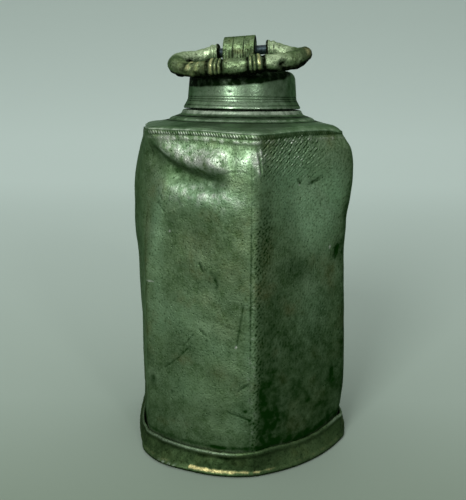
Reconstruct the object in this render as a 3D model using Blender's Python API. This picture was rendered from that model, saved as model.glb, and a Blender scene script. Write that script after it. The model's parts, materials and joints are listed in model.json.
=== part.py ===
"""Pewter screw flask: a six-sided body soldered from panels, with a screw cap and a swinging ring.

Run with blender --background --python part.py. Lengths are metres and +Z is up. The origin is on the
table in the middle of the foot, and the panel with the long crease faces -Y. Angles around the body are
measured from -Y towards +X.
"""

import math
from collections import namedtuple

import bmesh
import bpy
from mathutils import Matrix, Vector

MM = 0.001

# Body: a hexagon that widens a little towards the foot
CORNER_COUNT = 6
CORNER_STEP = math.radians(360 / CORNER_COUNT)
FIRST_CORNER = math.radians(30)
CORNER_ROUNDING = 6.0 * MM
CORNER_ARC = math.radians(3.0)
WALL_THICKNESS = 2.2 * MM
WALL_BOTTOM_Z = 4.3 * MM
WALL_TOP_Z = 171.6 * MM
WALL_BOTTOM_RADIUS = 62.3 * MM
WALL_TOP_RADIUS = 58.2 * MM
SEAM_FROM_CORNER = math.radians(4.3)
JOINT_GAP = 0.3 * MM

# The body has been pushed over, so its top edge stands turned and off the neck's axis
WALL_TWIST = math.radians(1.0)
SHOULDER_SHIFT = Vector((-2.1, -0.8, 0.0)) * MM

# Each face bows out towards the foot: 0 is flat, as at the shoulder, and 1 as round as a circle
FACE_ROUNDNESS = (0.62, 0.30, 0.45, 0.55, 0.45, 0.40)
FOOT_RIM_ROUNDNESS = (1.06, 0.74, 0.80, 0.95, 0.70, 0.34)

# Old damage, fading out at the shoulder and at the foot
DAMAGE_FROM_Z = 14.0 * MM
DAMAGE_FULL_Z = 34.0 * MM
DAMAGE_TOP_FADE = 13.0 * MM
Swell = namedtuple("Swell", "angle z reach up down height")
SWELLS = (
    # The hidden left panel is blown out along most of its height
    Swell(angle=-62, z=143, reach=44, up=44, down=100, height=5.2),
    # The right corner is pushed out under the shoulder
    Swell(angle=88, z=152, reach=34, up=30, down=38, height=5.9),
    # A low swelling down the rest of that corner
    Swell(angle=90, z=50, reach=42, up=150, down=120, height=2.8),
    # The front panel stands proud above its crease
    Swell(angle=12, z=160, reach=26, up=16, down=14, height=2.4),
    # and is hollow below it
    Swell(angle=-4, z=132, reach=26, up=22, down=46, height=-1.6),
    # The right panel is hollow beside the pushed corner
    Swell(angle=56, z=140, reach=24, up=26, down=40, height=-1.8),
)
Crease = namedtuple("Crease", "from_angle from_z to_angle to_z width depth")
CREASES = (
    Crease(from_angle=-24, from_z=163, to_angle=17, to_z=150, width=4.6, depth=2.6),
    Crease(from_angle=70, from_z=148, to_angle=84, to_z=132, width=5.0, depth=1.4),
)
CREASE_RADIUS = 52.0 * MM
CREASE_END_WIDTHS = 3

# Foot: six moulded strips, mitred at the corners, each with a lip under the base plate
FOOT_ROUNDING = 3.0 * MM
FootPoint = namedtuple("FootPoint", "corner_radius z flare")
FOOT_OUTLINE = (
    FootPoint(56.0, 0.0, 0.0),
    FootPoint(64.3, 0.0, 0.9),
    FootPoint(65.3, 0.9, 1.0),
    FootPoint(65.2, 2.4, 0.95),
    FootPoint(64.0, 4.8, 0.5),
    FootPoint(63.4, 8.8, 0.1),
    FootPoint(64.0, 9.6, 0.0),
    FootPoint(64.0, 10.7, 0.0),
    FootPoint(63.5, 11.4, 0.0),
    FootPoint(62.8, 11.4, 0.0),
    FootPoint(62.8, 1.7, 0.0),
    FootPoint(56.0, 1.7, 0.0),
)
FOOT_FACE_COLUMNS = 6
BASE_PLATE_RADIUS = 62.1 * MM
BASE_PLATE_BOTTOM_Z = 2.0 * MM
BASE_PLATE_TOP_Z = 4.0 * MM

# Shoulder: hexagonal edge, low dome and turned collar, all one plate
ShoulderRing = namedtuple("ShoulderRing", "corner_radius round_radius roundness z")
SHOULDER_EDGE = (
    ShoulderRing(58.4, 49.0, 0.0, 171.9),
    ShoulderRing(58.5, 49.0, 0.0, 172.4),
    ShoulderRing(58.5, 49.0, 0.0, 173.3),
    ShoulderRing(58.0, 49.0, 0.0, 173.8),
    ShoulderRing(53.5, 49.0, 0.35, 174.9),
    ShoulderRing(46.5, 43.0, 0.75, 176.4),
)
SHOULDER_COLLAR = (
    (39.6, 177.5),
    (38.9, 178.3),
    (36.2, 179.0),
    (33.6, 180.2),
    (32.3, 181.4),
    (31.8, 182.4),
    (23.6, 182.4),
    (23.6, 179.6),
    (31.2, 179.6),
    (36.4, 176.4),
)
SHOULDER_UNDERSIDE = (
    ShoulderRing(46.0, 43.0, 0.75, 174.2),
    ShoulderRing(54.4, 49.0, 0.2, 171.9),
)
SHOULDER_FACE_COLUMNS = 5

# Neck and cap, joined by a coarse right-hand thread
TURNED_SEGMENTS = 44
THREAD_PITCH = 5.0 * MM
THREAD_STEPS = 34
THREAD_RUN_OUT_STEPS = 5
THREAD_ROOT_HALF_WIDTH = 1.3 * MM
THREAD_CREST_HALF_WIDTH = 0.5 * MM
NECK_OUTLINE = (
    (20.5, 176.6),
    (28.0, 176.6),
    (28.0, 179.2),
    (23.0, 179.2),
    (23.0, 196.4),
    (22.4, 197.0),
    (21.1, 197.0),
    (20.5, 196.4),
)
NECK_THREAD = {"buried": 22.4, "root": 23.0, "crest": 24.6, "start": 185.8, "turns": 1.75}
CAP_THREAD = {"buried": 25.7, "root": 25.1, "crest": 23.5, "start": 188.3, "turns": 1.25}
CAP_RIM_Z = 183.0
CAP_EDGE_CENTRE = (23.5, 197.5)
CAP_EDGE_RADIUS = 4.8
CAP_EDGE_STEPS = 5
CAP_LOWER_OUTLINE = (
    (25.1, 184.4),
    (26.2, CAP_RIM_Z),
    (31.0, CAP_RIM_Z),
    (31.3, 183.5),
    (31.2, 184.3),
    (30.5, 185.3),
    (29.8, 186.5),
    (29.3, 187.7),
    (28.9, 190.5),
)
CAP_UPPER_OUTLINE = (
    (13.0, 203.0),
    (0.0, 203.0),
    (0.0, 199.5),
    (25.1, 199.5),
)
SEAL_OUTLINE = (
    (0.0, 197.3),
    (23.9, 197.3),
    (24.3, 197.7),
    (24.3, 198.8),
    (23.9, 199.2),
    (0.0, 199.2),
)

# Ring, hinge pin and knuckle on the cap's top
RING_AZIMUTH = math.radians(14.0)
HINGE_Z = 212.3 * MM
HINGE_LEAN = math.radians(4.4)
RING_REST_TILT = math.radians(17.8)
KNUCKLE_OFFSET = -1.5 * MM
KNUCKLE_RADIUS = 7.8 * MM
KNUCKLE_BASE_Z = 203.3 * MM
KNUCKLE_FLARE = 0.9 * MM
KNUCKLE_FLARE_HEIGHT = 2.5 * MM
KNUCKLE_ARC_STEPS = 10
REED_COUNT = 3
REED_WIDTH = 5.5 * MM
REED_SECTION = ((0.0, 0.8), (0.14, 0.25), (0.5, 0.0), (0.86, 0.25))
PIN_RADIUS = 2.2 * MM
PIN_CLEARANCE = 0.35 * MM
PIN_SIDES = 16
PIN_REACH_INTO_RING = 4.0 * MM
RING_OFFSET = 1.7 * MM
RING_HALF_WIDTH = 34.0 * MM
RING_LENGTH = 33.6 * MM
RING_END = 12.5 * MM
RING_STRAIGHT_END = 14.0 * MM
RING_SIDES = 10
RING_PATH_STEPS = 400
# Radius of the ring's bar at distances from the middle of its front, beads and balusters included
RING_TURNING = (
    (0.0, 4.4),
    (4.0, 4.4),
    (6.4, 4.1),
    (7.0, 4.6),
    (8.4, 4.7),
    (9.0, 4.2),
    (9.6, 4.7),
    (10.8, 4.7),
    (11.4, 4.2),
    (12.0, 4.6),
    (13.0, 4.5),
    (13.7, 3.8),
    (18.0, 4.2),
    (22.6, 3.8),
    (23.2, 4.3),
    (24.2, 4.3),
    (24.9, 3.8),
    (31.0, 4.2),
    (37.0, 3.8),
    (39.6, 3.9),
    (40.8, 4.1),
    (42.2, 3.6),
    (48.0, 3.3),
    (56.0, 2.9),
)
# The same for the double collar at each end, counted back from the end
RING_COLLAR = (
    (4.6, 2.9),
    (4.0, 4.3),
    (2.7, 4.3),
    (2.2, 3.8),
    (1.7, 4.4),
    (0.5, 4.4),
    (0.0, 4.0),
)
# The right side is worn thin
RING_WEAR = 1.0
RING_WEAR_FROM_FRONT = 40.0
RING_WEAR_REACH = 16.0

FINE_FACE_COLUMNS = 12
PLAIN_FACE_COLUMNS = 6
FINE_PANELS = (0, 1)
FINE_ROWS = 24
PLAIN_ROWS = 11
SMOOTH_ANGLE = math.radians(35)


def clear_scene():
    """Remove every object that the file opens with."""
    for item in list(bpy.data.objects):
        bpy.data.objects.remove(item)


def make_material(name, colour, roughness, metallic):
    """A plain Principled material with a linear colour."""
    material = bpy.data.materials.new(name)
    material.use_nodes = True
    shader = material.node_tree.nodes["Principled BSDF"]
    shader.inputs["Base Color"].default_value = (*colour, 1.0)
    shader.inputs["Roughness"].default_value = roughness
    shader.inputs["Metallic"].default_value = metallic
    material.diffuse_color = (*colour, 1.0)
    return material


def add_object(name, bm, material, parent):
    """Turn a bmesh into a named, smooth-shaded object under its parent."""
    bmesh.ops.recalc_face_normals(bm, faces=bm.faces)
    mesh = bpy.data.meshes.new(name)
    bm.to_mesh(mesh)
    bm.free()
    mesh.shade_smooth()
    mesh.set_sharp_from_angle(angle=SMOOTH_ANGLE)
    mesh.materials.append(material)
    item = bpy.data.objects.new(name, mesh)
    item.parent = parent
    bpy.context.collection.objects.link(item)
    return item


def add_tool(name, bm, parent):
    """A hidden body for a Boolean."""
    tool = add_object(name, bm, make_material(name, (0.5, 0.5, 0.5), 0.5, 0.0), parent)
    tool.hide_render = True
    tool.display_type = "WIRE"
    return tool


def add_empty(name, parent, matrix):
    """A frame that pieces are parented to."""
    empty = bpy.data.objects.new(name, None)
    empty.parent = parent
    empty.matrix_basis = matrix
    bpy.context.collection.objects.link(empty)
    return empty


def boolean(item, tool, operation):
    """Join a hidden body to an object, or cut it away."""
    modifier = item.modifiers.new(tool.name, "BOOLEAN")
    modifier.operation = operation
    modifier.object = tool
    modifier.solver = "EXACT"


def skin(loops, join_ends):
    """Faces between a row of closed loops; the last meets the first, or both ends get a face."""
    bm = bmesh.new()
    rows = [[bm.verts.new(point) for point in loop] for loop in loops]
    pairs = list(zip(rows, rows[1:]))
    if join_ends:
        pairs.append((rows[-1], rows[0]))
    else:
        bm.faces.new(rows[0])
        bm.faces.new(rows[-1])
    for first, second in pairs:
        for here in range(len(first)):
            after = (here + 1) % len(first)
            bm.faces.new((first[here], first[after], second[after], second[here]))
    return bm


def plate(outer, inner):
    """Close two grids of points, one behind the other, into a sheet with thickness."""
    bm = bmesh.new()
    edges = []
    for grid in (outer, inner):
        rows = [[bm.verts.new(point) for point in row] for row in grid]
        for low, high in zip(rows, rows[1:]):
            for here in range(len(low) - 1):
                bm.faces.new((low[here], low[here + 1], high[here + 1], high[here]))
        right = [row[-1] for row in rows[1:]]
        left = [row[0] for row in rows[-2:0:-1]]
        edges.append(rows[0] + right + rows[-1][-2::-1] + left)
    front, back = edges
    for here in range(len(front)):
        after = (here + 1) % len(front)
        bm.faces.new((front[here], front[after], back[after], back[here]))
    return bm


def turned(outline_mm):
    """Spin an outline of (radius, height) points, in millimetres, about the neck's axis."""
    bm = bmesh.new()
    points = [bm.verts.new((radius * MM, 0.0, z * MM)) for radius, z in outline_mm]
    edges = []
    for first, second in zip(points, points[1:] + points[:1]):
        if first.co.x > 0 or second.co.x > 0:
            edges.append(bm.edges.new((first, second)))
    bmesh.ops.spin(
        bm,
        geom=points + edges,
        cent=(0, 0, 0),
        axis=(0, 0, 1),
        dvec=(0, 0, 0),
        angle=math.tau,
        steps=TURNED_SEGMENTS,
        use_merge=True,
        use_duplicate=False,
    )
    bmesh.ops.remove_doubles(bm, verts=bm.verts, dist=0.001 * MM)
    return bm


def outward(angle):
    """Unit vector from the axis, at an angle from -Y towards +X."""
    return Vector((math.sin(angle), -math.cos(angle), 0.0))


def hexagon_radius(corner_radius, rounding, angle):
    """Distance from the axis to a hexagon with rounded corners."""
    half = CORNER_STEP / 2
    off = abs((angle - FIRST_CORNER + half) % CORNER_STEP - half)
    centre = corner_radius - rounding / math.cos(half)
    arc_end = math.atan2(rounding * math.sin(half), centre + rounding * math.cos(half))
    if off < arc_end:
        return centre * math.cos(off) + math.sqrt(rounding**2 - (centre * math.sin(off)) ** 2)
    return corner_radius * math.cos(half) / math.cos(half - off)


def bump(offset, reach):
    """A smooth hump: one at the middle, nothing past its reach."""
    if abs(offset) >= reach:
        return 0.0
    return math.cos(math.pi / 2 * offset / reach) ** 2


def face_bow(corner_radius, angle, flare):
    """How far a face bows out at the foot, towards the circle through its corners."""
    half = CORNER_STEP / 2
    face = int((angle + half) // CORNER_STEP) % CORNER_COUNT
    off = (angle + half) % CORNER_STEP - half
    to_circle = corner_radius * (1 - math.cos(half) / math.cos(off))
    wall = FACE_ROUNDNESS[face]
    return to_circle * (wall + (FOOT_RIM_ROUNDNESS[face] - wall) * flare)


def swell_height(swell, degrees, z_mm):
    """How far one swelling pushes the wall out."""
    around = (degrees - swell.angle + 180) % 360 - 180
    rise = z_mm - swell.z
    reach = swell.up if rise > 0 else swell.down
    return swell.height * MM * bump(around, swell.reach) * bump(rise, reach)


def crease_height(crease, degrees, z_mm):
    """A sharp valley along a line on the wall."""
    to_mm = math.radians(1) * CREASE_RADIUS / MM
    start = Vector((crease.from_angle * to_mm, crease.from_z))
    along = Vector((crease.to_angle * to_mm, crease.to_z)) - start
    length = along.length
    along.normalize()
    around = (degrees - crease.from_angle + 180) % 360 - 180
    place = Vector(((crease.from_angle + around) * to_mm, z_mm)) - start
    run = place.dot(along)
    above = place.x * -along.y + place.y * along.x
    past_end = max(0.0, -run, run - length)
    fade = bump(past_end, CREASE_END_WIDTHS * crease.width)
    valley = math.exp(-((above / crease.width) ** 2))
    return -crease.depth * MM * valley * fade


def damage(angle, z):
    """Height of the swellings and creases over the true wall."""
    degrees = math.degrees(angle)
    total = sum(swell_height(swell, degrees, z / MM) for swell in SWELLS)
    total += sum(crease_height(crease, degrees, z / MM) for crease in CREASES)
    from_foot = min(1.0, max(0.0, (z - DAMAGE_FROM_Z) / (DAMAGE_FULL_Z - DAMAGE_FROM_Z)))
    from_top = min(1.0, max(0.0, (WALL_TOP_Z - z) / DAMAGE_TOP_FADE))
    return total * math.sin(math.pi / 2 * from_foot) * math.sin(math.pi / 2 * from_top)


def wall_point(angle, z, inward):
    """A point on the wall's outer face, or behind it."""
    share = z / WALL_TOP_Z
    corner_radius = WALL_BOTTOM_RADIUS + (WALL_TOP_RADIUS - WALL_BOTTOM_RADIUS) * share
    radius = hexagon_radius(corner_radius, CORNER_ROUNDING, angle)
    radius += face_bow(corner_radius, angle, 0.0) * (1 - share)
    radius += damage(angle, z) - inward
    foot = SHOULDER_SHIFT * share + Vector((0.0, 0.0, z))
    return foot + outward(angle + WALL_TWIST * share) * radius


def panel_columns(corner_angle, count):
    """Angles across one panel: round its corner, then along its face to the next seam."""
    half_gap = JOINT_GAP / 2 / WALL_TOP_RADIUS
    start = corner_angle - SEAM_FROM_CORNER + half_gap
    end = corner_angle + CORNER_STEP - SEAM_FROM_CORNER - half_gap
    arc = [corner_angle + CORNER_ARC * share for share in (-1.0, -0.5, 0.0, 0.5)]
    face_start = corner_angle + CORNER_ARC
    face = [face_start + (end - face_start) * step / count for step in range(count + 1)]
    return [start] + arc + face


def panel_heights(count):
    """Heights of a panel's rows, closer together towards the dented top."""
    rise = WALL_TOP_Z - WALL_BOTTOM_Z
    return [WALL_BOTTOM_Z + rise * math.sin(math.pi / 2 * step / count) for step in range(count + 1)]


def build_wall_panels(material, parent):
    """Six sheets, each folded round one corner and soldered to the next beside it."""
    for index in range(CORNER_COUNT):
        fine = index in FINE_PANELS
        corner_angle = FIRST_CORNER + CORNER_STEP * (index - 1)
        columns = panel_columns(corner_angle, FINE_FACE_COLUMNS if fine else PLAIN_FACE_COLUMNS)
        heights = panel_heights(FINE_ROWS if fine else PLAIN_ROWS)
        outer = [[wall_point(angle, z, 0.0) for angle in columns] for z in heights]
        inner = [[wall_point(angle, z, WALL_THICKNESS) for angle in columns] for z in heights]
        add_object(f"wall_panel_{index + 1}", plate(outer, inner), material, parent)


def bowed_point(corner_radius, angle, z, flare):
    """A point on a hexagon whose faces bow out as the walls do at the foot, and more with flare."""
    radius = hexagon_radius(corner_radius, FOOT_ROUNDING, angle) + face_bow(corner_radius, angle, flare)
    return outward(angle) * radius + Vector((0.0, 0.0, z))


def face_columns(corner_angle):
    """Angles from one corner to the next, close together on the rounded ends."""
    start = corner_angle + CORNER_ARC
    width = CORNER_STEP - 2 * CORNER_ARC
    columns = [corner_angle, corner_angle + CORNER_ARC / 2]
    columns += [start + width * step / FOOT_FACE_COLUMNS for step in range(FOOT_FACE_COLUMNS + 1)]
    return columns + [corner_angle + CORNER_STEP - CORNER_ARC / 2, corner_angle + CORNER_STEP]


def foot_point(point, angle):
    """A point of the foot's outline, carried round to an angle."""
    return bowed_point(point.corner_radius * MM, angle, point.z * MM, point.flare)


def build_foot(material, parent):
    """Six strips of one moulding, mitred at the corners."""
    half_gap = JOINT_GAP / 2 / WALL_TOP_RADIUS
    for index in range(CORNER_COUNT):
        columns = face_columns(FIRST_CORNER + CORNER_STEP * (index - 1))
        columns[0] += half_gap
        columns[-1] -= half_gap
        loops = [[foot_point(point, angle) for point in FOOT_OUTLINE] for angle in columns]
        add_object(f"foot_strip_{index + 1}", skin(loops, join_ends=False), material, parent)


def build_base_plate(material, parent):
    """The flat bottom, lying on the foot's lip with the walls standing on it."""
    columns = []
    for index in range(CORNER_COUNT):
        columns += face_columns(FIRST_CORNER + CORNER_STEP * index)[:-1]
    loops = []
    for z in (BASE_PLATE_BOTTOM_Z, BASE_PLATE_TOP_Z):
        loops.append([bowed_point(BASE_PLATE_RADIUS, angle, z, 0.0) for angle in columns])
    add_object("base_plate", skin(loops, join_ends=False), material, parent)


def shoulder_columns():
    """Angles round the shoulder: five at each rounded corner and a few along each edge."""
    columns = []
    for index in range(CORNER_COUNT):
        corner = FIRST_CORNER + CORNER_STEP * index
        columns += [corner + CORNER_ARC * share for share in (-1.0, -0.5, 0.0, 0.5, 1.0)]
        width = CORNER_STEP - 2 * CORNER_ARC
        for step in range(1, SHOULDER_FACE_COLUMNS + 1):
            columns.append(corner + CORNER_ARC + width * step / (SHOULDER_FACE_COLUMNS + 1))
    return columns


def build_shoulder(material, parent):
    """One plate from the hexagonal edge up to the turned collar round the neck."""
    columns = shoulder_columns()
    collar = tuple(ShoulderRing(radius, radius, 1.0, z) for radius, z in SHOULDER_COLLAR)
    loops = []
    for ring in SHOULDER_EDGE + collar + SHOULDER_UNDERSIDE:
        loop = []
        for angle in columns:
            edge = hexagon_radius(ring.corner_radius * MM, CORNER_ROUNDING, angle)
            radius = edge + (ring.round_radius * MM - edge) * ring.roundness
            foot = SHOULDER_SHIFT * (1 - ring.roundness) + Vector((0, 0, ring.z * MM))
            loop.append(foot + outward(angle + WALL_TWIST) * radius)
        loops.append(loop)
    add_object("shoulder", skin(loops, join_ends=True), material, parent)


def thread_ridge(buried, root, crest, start, turns):
    """A helical ridge whose base is buried in the wall that it stands on."""
    last = round(turns * THREAD_STEPS)
    hidden = root + (buried - root) / 3
    loops = []
    for step in range(last + 1):
        turn = (step + 0.5) / THREAD_STEPS
        angle = math.tau * turn
        z = start * MM + THREAD_PITCH * turn
        grown = min(1.0, step / THREAD_RUN_OUT_STEPS, (last - step) / THREAD_RUN_OUT_STEPS)
        top = hidden + (crest - hidden) * grown
        direction = Vector((math.cos(angle), math.sin(angle), 0.0))
        section = (
            (buried, -THREAD_ROOT_HALF_WIDTH),
            (top, -THREAD_CREST_HALF_WIDTH),
            (top, THREAD_CREST_HALF_WIDTH),
            (buried, THREAD_ROOT_HALF_WIDTH),
        )
        loops.append([direction * radius * MM + Vector((0, 0, z + rise)) for radius, rise in section])
    return skin(loops, join_ends=False)


def build_neck(material, parent):
    """Tube with a flange under the shoulder and a ridge for the cap."""
    neck = add_object("neck", turned(NECK_OUTLINE), material, parent)
    boolean(neck, add_tool("neck_thread", thread_ridge(**NECK_THREAD), parent), "UNION")


def cap_outline():
    """Section of the cap: inside of the rim, flared outside, rounded top edge and the flat inside."""
    centre_radius, centre_z = CAP_EDGE_CENTRE
    edge = []
    for step in range(CAP_EDGE_STEPS + 1):
        turn = math.pi / 2 * step / CAP_EDGE_STEPS
        radius = centre_radius + CAP_EDGE_RADIUS * math.cos(turn)
        edge.append((radius, centre_z + CAP_EDGE_RADIUS * math.sin(turn)))
    return CAP_LOWER_OUTLINE + tuple(edge) + CAP_UPPER_OUTLINE


def build_cap(material, parent):
    """Screw cap with its own ridge, standing clear of the neck's."""
    cap = add_object("cap", turned(cap_outline()), material, parent)
    boolean(cap, add_tool("cap_thread", thread_ridge(**CAP_THREAD), parent), "UNION")


def build_seal(material, parent):
    """Washer between the neck's lip and the cap."""
    add_object("seal", turned(SEAL_OUTLINE), material, parent)


def rod(radius, start_x, end_x, sides):
    """A plain round rod along X."""
    loops = []
    for x in (start_x, end_x):
        loop = []
        for side in range(sides):
            angle = math.tau * side / sides
            loop.append(Vector((x, radius * math.cos(angle), radius * math.sin(angle))))
        loops.append(loop)
    return skin(loops, join_ends=False)


def knuckle_section(x, inset):
    """Outline of the knuckle across its width, drawn in at the grooves between reeds."""
    half = KNUCKLE_RADIUS - inset * MM
    foot = half + KNUCKLE_FLARE
    waist_z = KNUCKLE_BASE_Z + KNUCKLE_FLARE_HEIGHT
    points = [Vector((x, -foot, KNUCKLE_BASE_Z)), Vector((x, -half, waist_z))]
    for step in range(KNUCKLE_ARC_STEPS + 1):
        angle = math.pi - math.pi * step / KNUCKLE_ARC_STEPS
        points.append(Vector((x, half * math.cos(angle), HINGE_Z + half * math.sin(angle))))
    points += [Vector((x, half, waist_z)), Vector((x, foot, KNUCKLE_BASE_Z))]
    return points


def build_knuckle(material, parent, hinge):
    """Three-reeded block on the cap, drilled for the hinge pin."""
    left = -REED_WIDTH * REED_COUNT / 2
    loops = []
    for reed in range(REED_COUNT):
        for share, inset in REED_SECTION:
            loops.append(knuckle_section(left + REED_WIDTH * (reed + share), inset))
    loops.append(knuckle_section(-left, REED_SECTION[0][1]))
    knuckle = add_object("knuckle", skin(loops, join_ends=False), material, parent)
    knuckle.rotation_euler.z = RING_AZIMUTH
    knuckle.location = hinge_point() - Vector((0, 0, HINGE_Z))
    reach = REED_WIDTH * REED_COUNT
    drill = rod(PIN_RADIUS + PIN_CLEARANCE, -reach, reach, PIN_SIDES)
    boolean(knuckle, add_tool("knuckle_drill", drill, hinge), "DIFFERENCE")


def hinge_point():
    """Middle of the knuckle on the hinge's axis."""
    across = Vector((math.cos(RING_AZIMUTH), math.sin(RING_AZIMUTH), 0.0))
    return across * KNUCKLE_OFFSET + Vector((0, 0, HINGE_Z))


def hinge_matrix():
    """Frame of the resting ring: X along the leaning hinge, -Y along the ring, Z square to it."""
    spin = Matrix.Rotation(RING_AZIMUTH, 4, "Z")
    lean = Matrix.Rotation(-HINGE_LEAN, 4, "Y")
    tilt = Matrix.Rotation(RING_REST_TILT, 4, "X")
    return Matrix.Translation(hinge_point()) @ spin @ lean @ tilt


def ring_curve(share):
    """Centre line of the right half of the ring, from the middle of its front to its end."""
    turn = math.pi * share
    straight = 0.0 if share <= 0.5 else RING_STRAIGHT_END
    across = straight + (RING_HALF_WIDTH - straight) * math.sin(turn)
    return Vector((across, -RING_LENGTH / 2 * (1 + math.cos(turn)), 0.0))


def ring_line():
    """Closely spaced points along that half, with the distance to each."""
    points = [ring_curve(step / RING_PATH_STEPS) for step in range(RING_PATH_STEPS + 1)]
    points.append(Vector((RING_END, 0.0, 0.0)))
    distances = [0.0]
    for first, second in zip(points, points[1:]):
        distances.append(distances[-1] + (second - first).length)
    return points, distances


def point_along(points, distances, distance):
    """Point and direction at a distance along the line."""
    index = 1
    while index < len(distances) - 1 and distances[index] < distance:
        index += 1
    span = distances[index] - distances[index - 1]
    share = (distance - distances[index - 1]) / span
    direction = points[index] - points[index - 1]
    return points[index - 1] + direction * share, direction.normalized()


def build_ring(material, parent):
    """Baluster ring: an oval bar with beads, drilled at both ends for the pin."""
    points, distances = ring_line()
    stations = list(RING_TURNING)
    stations += [(distances[-1] / MM - back, radius) for back, radius in RING_COLLAR]
    half = []
    mirrored = []
    for distance, radius in stations:
        place, direction = point_along(points, distances, distance * MM)
        side = Vector((direction.y, -direction.x, 0.0))
        wear = RING_WEAR * bump(distance - RING_WEAR_FROM_FRONT, RING_WEAR_REACH)
        half.append((place, side, (radius - wear) * MM))
        mirrored.insert(0, (place * Vector((-1, 1, 1)), side * Vector((-1, 1, 1)), radius * MM))
    loops = []
    for place, side, radius in mirrored[:-1] + half:
        loop = []
        for step in range(RING_SIDES):
            angle = math.tau * (step + 0.5) / RING_SIDES
            loop.append(place + side * radius * math.cos(angle) + Vector((0, 0, radius * math.sin(angle))))
        loops.append(loop)
    ring = add_object("ring", skin(loops, join_ends=False), material, parent)
    ring.location.x = RING_OFFSET
    depth = RING_END + PIN_REACH_INTO_RING
    hole = rod(PIN_RADIUS + PIN_CLEARANCE, -depth, depth, PIN_SIDES)
    drill = add_tool("ring_drill", hole, parent)
    drill.location.x = RING_OFFSET
    boolean(ring, drill, "DIFFERENCE")


def build_pin(material, parent):
    """Iron pin through the knuckle, held in the ring's ends."""
    reach = RING_END + PIN_REACH_INTO_RING - JOINT_GAP
    pin = add_object("hinge_pin", rod(PIN_RADIUS, -reach, reach, PIN_SIDES), material, parent)
    pin.location.x = RING_OFFSET


def main():
    """Build every piece under the frame that it moves with."""
    clear_scene()
    pewter = make_material("pewter_wall", (0.075, 0.100, 0.062), 0.50, 0.85)
    foot_pewter = make_material("pewter_foot", (0.060, 0.075, 0.040), 0.55, 0.85)
    cap_pewter = make_material("pewter_cap", (0.130, 0.170, 0.125), 0.38, 0.90)
    ring_pewter = make_material("pewter_ring", (0.130, 0.135, 0.070), 0.45, 0.85)
    iron = make_material("iron_pin", (0.050, 0.070, 0.070), 0.55, 0.80)
    leather = make_material("leather_seal", (0.120, 0.060, 0.030), 0.85, 0.0)

    body = add_empty("body_frame", None, Matrix.Identity(4))
    cap_axis = add_empty("cap_axis", body, Matrix.Identity(4))
    hinge = add_empty("ring_hinge", cap_axis, hinge_matrix())

    build_wall_panels(pewter, body)
    build_foot(foot_pewter, body)
    build_base_plate(foot_pewter, body)
    build_shoulder(cap_pewter, body)
    build_neck(cap_pewter, body)
    build_seal(leather, cap_axis)
    build_cap(cap_pewter, cap_axis)
    build_knuckle(ring_pewter, cap_axis, hinge)
    build_ring(ring_pewter, hinge)
    build_pin(iron, hinge)


main()
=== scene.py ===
"""Looks of an old pewter screw flask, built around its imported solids.

Lengths in the classes are millimetres and are turned to metres where points are placed. Angles round the
body are measured from -Y, the panel with the long crease, towards +X.
"""

import json
import logging
import math
from contextlib import contextmanager
from dataclasses import dataclass
from enum import Enum
from functools import partial
from typing import Any, ClassVar, Iterator, Sequence

import bpy
import numpy as np
from bpy.types import Material, Node, NodeSocket, NodeTree, Object
from mathutils import Matrix, Vector

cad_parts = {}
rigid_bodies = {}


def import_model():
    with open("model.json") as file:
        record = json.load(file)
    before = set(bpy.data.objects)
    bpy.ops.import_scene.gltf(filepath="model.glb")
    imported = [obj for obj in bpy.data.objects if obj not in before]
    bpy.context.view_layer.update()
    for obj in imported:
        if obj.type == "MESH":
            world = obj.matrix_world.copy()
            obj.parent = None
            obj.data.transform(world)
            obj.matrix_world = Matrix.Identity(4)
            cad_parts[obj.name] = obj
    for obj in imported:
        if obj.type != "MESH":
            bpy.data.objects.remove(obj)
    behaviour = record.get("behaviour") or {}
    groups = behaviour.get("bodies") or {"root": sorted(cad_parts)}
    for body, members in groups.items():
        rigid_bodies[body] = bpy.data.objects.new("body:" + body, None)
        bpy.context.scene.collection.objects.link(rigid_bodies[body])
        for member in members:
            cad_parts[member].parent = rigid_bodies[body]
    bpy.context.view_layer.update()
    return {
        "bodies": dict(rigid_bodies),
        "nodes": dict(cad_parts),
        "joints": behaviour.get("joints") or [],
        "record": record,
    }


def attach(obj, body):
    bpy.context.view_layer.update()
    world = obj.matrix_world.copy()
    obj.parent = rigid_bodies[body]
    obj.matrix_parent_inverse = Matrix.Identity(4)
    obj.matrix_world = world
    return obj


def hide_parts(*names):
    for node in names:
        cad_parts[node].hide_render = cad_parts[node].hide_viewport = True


LOG = logging.getLogger("flask")
MM = 0.001
MERGE_DISTANCE = 0.002 * MM
SMOOTH_ANGLE = math.radians(50)
CORNERS = 6
CORNER_STEP = math.tau / CORNERS
FIRST_CORNER = CORNER_STEP / 2
HALF_STEP = CORNER_STEP / 2

Array = np.ndarray
Points = np.ndarray
Span = tuple[float, float]
Outline = tuple[tuple[float, ...], ...]


class Body(Enum):
    """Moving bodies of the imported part."""

    FLASK = "flask"
    WASHER = "washer"
    SCREW_CAP = "screw_cap"
    SWING_RING = "swing_ring"


class Slot(Enum):
    """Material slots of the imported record."""

    WALL = "pewter_wall"
    FOOT = "pewter_foot"
    CAP = "pewter_cap"
    RING = "pewter_ring"
    PIN = "iron_pin"
    SEAL = "leather_seal"


class Making(Enum):
    """How a pewter surface was made, which sets the marks on it."""

    ROLLED = "rolled"
    TURNED = "turned"
    CAST = "cast"


def linear(hex_colour: str) -> tuple[float, float, float, float]:
    """Turn an sRGB hex colour to the linear colour that Blender's sockets take.

    Args:
        hex_colour: Six hex digits after a hash sign.

    Returns:
        Linear red, green and blue, with an alpha of one.
    """
    channels = [int(hex_colour[start : start + 2], 16) / 255 for start in (1, 3, 5)]
    red, green, blue = (c / 12.92 if c <= 0.04045 else ((c + 0.055) / 1.055) ** 2.4 for c in channels)
    return red, green, blue, 1.0


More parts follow.
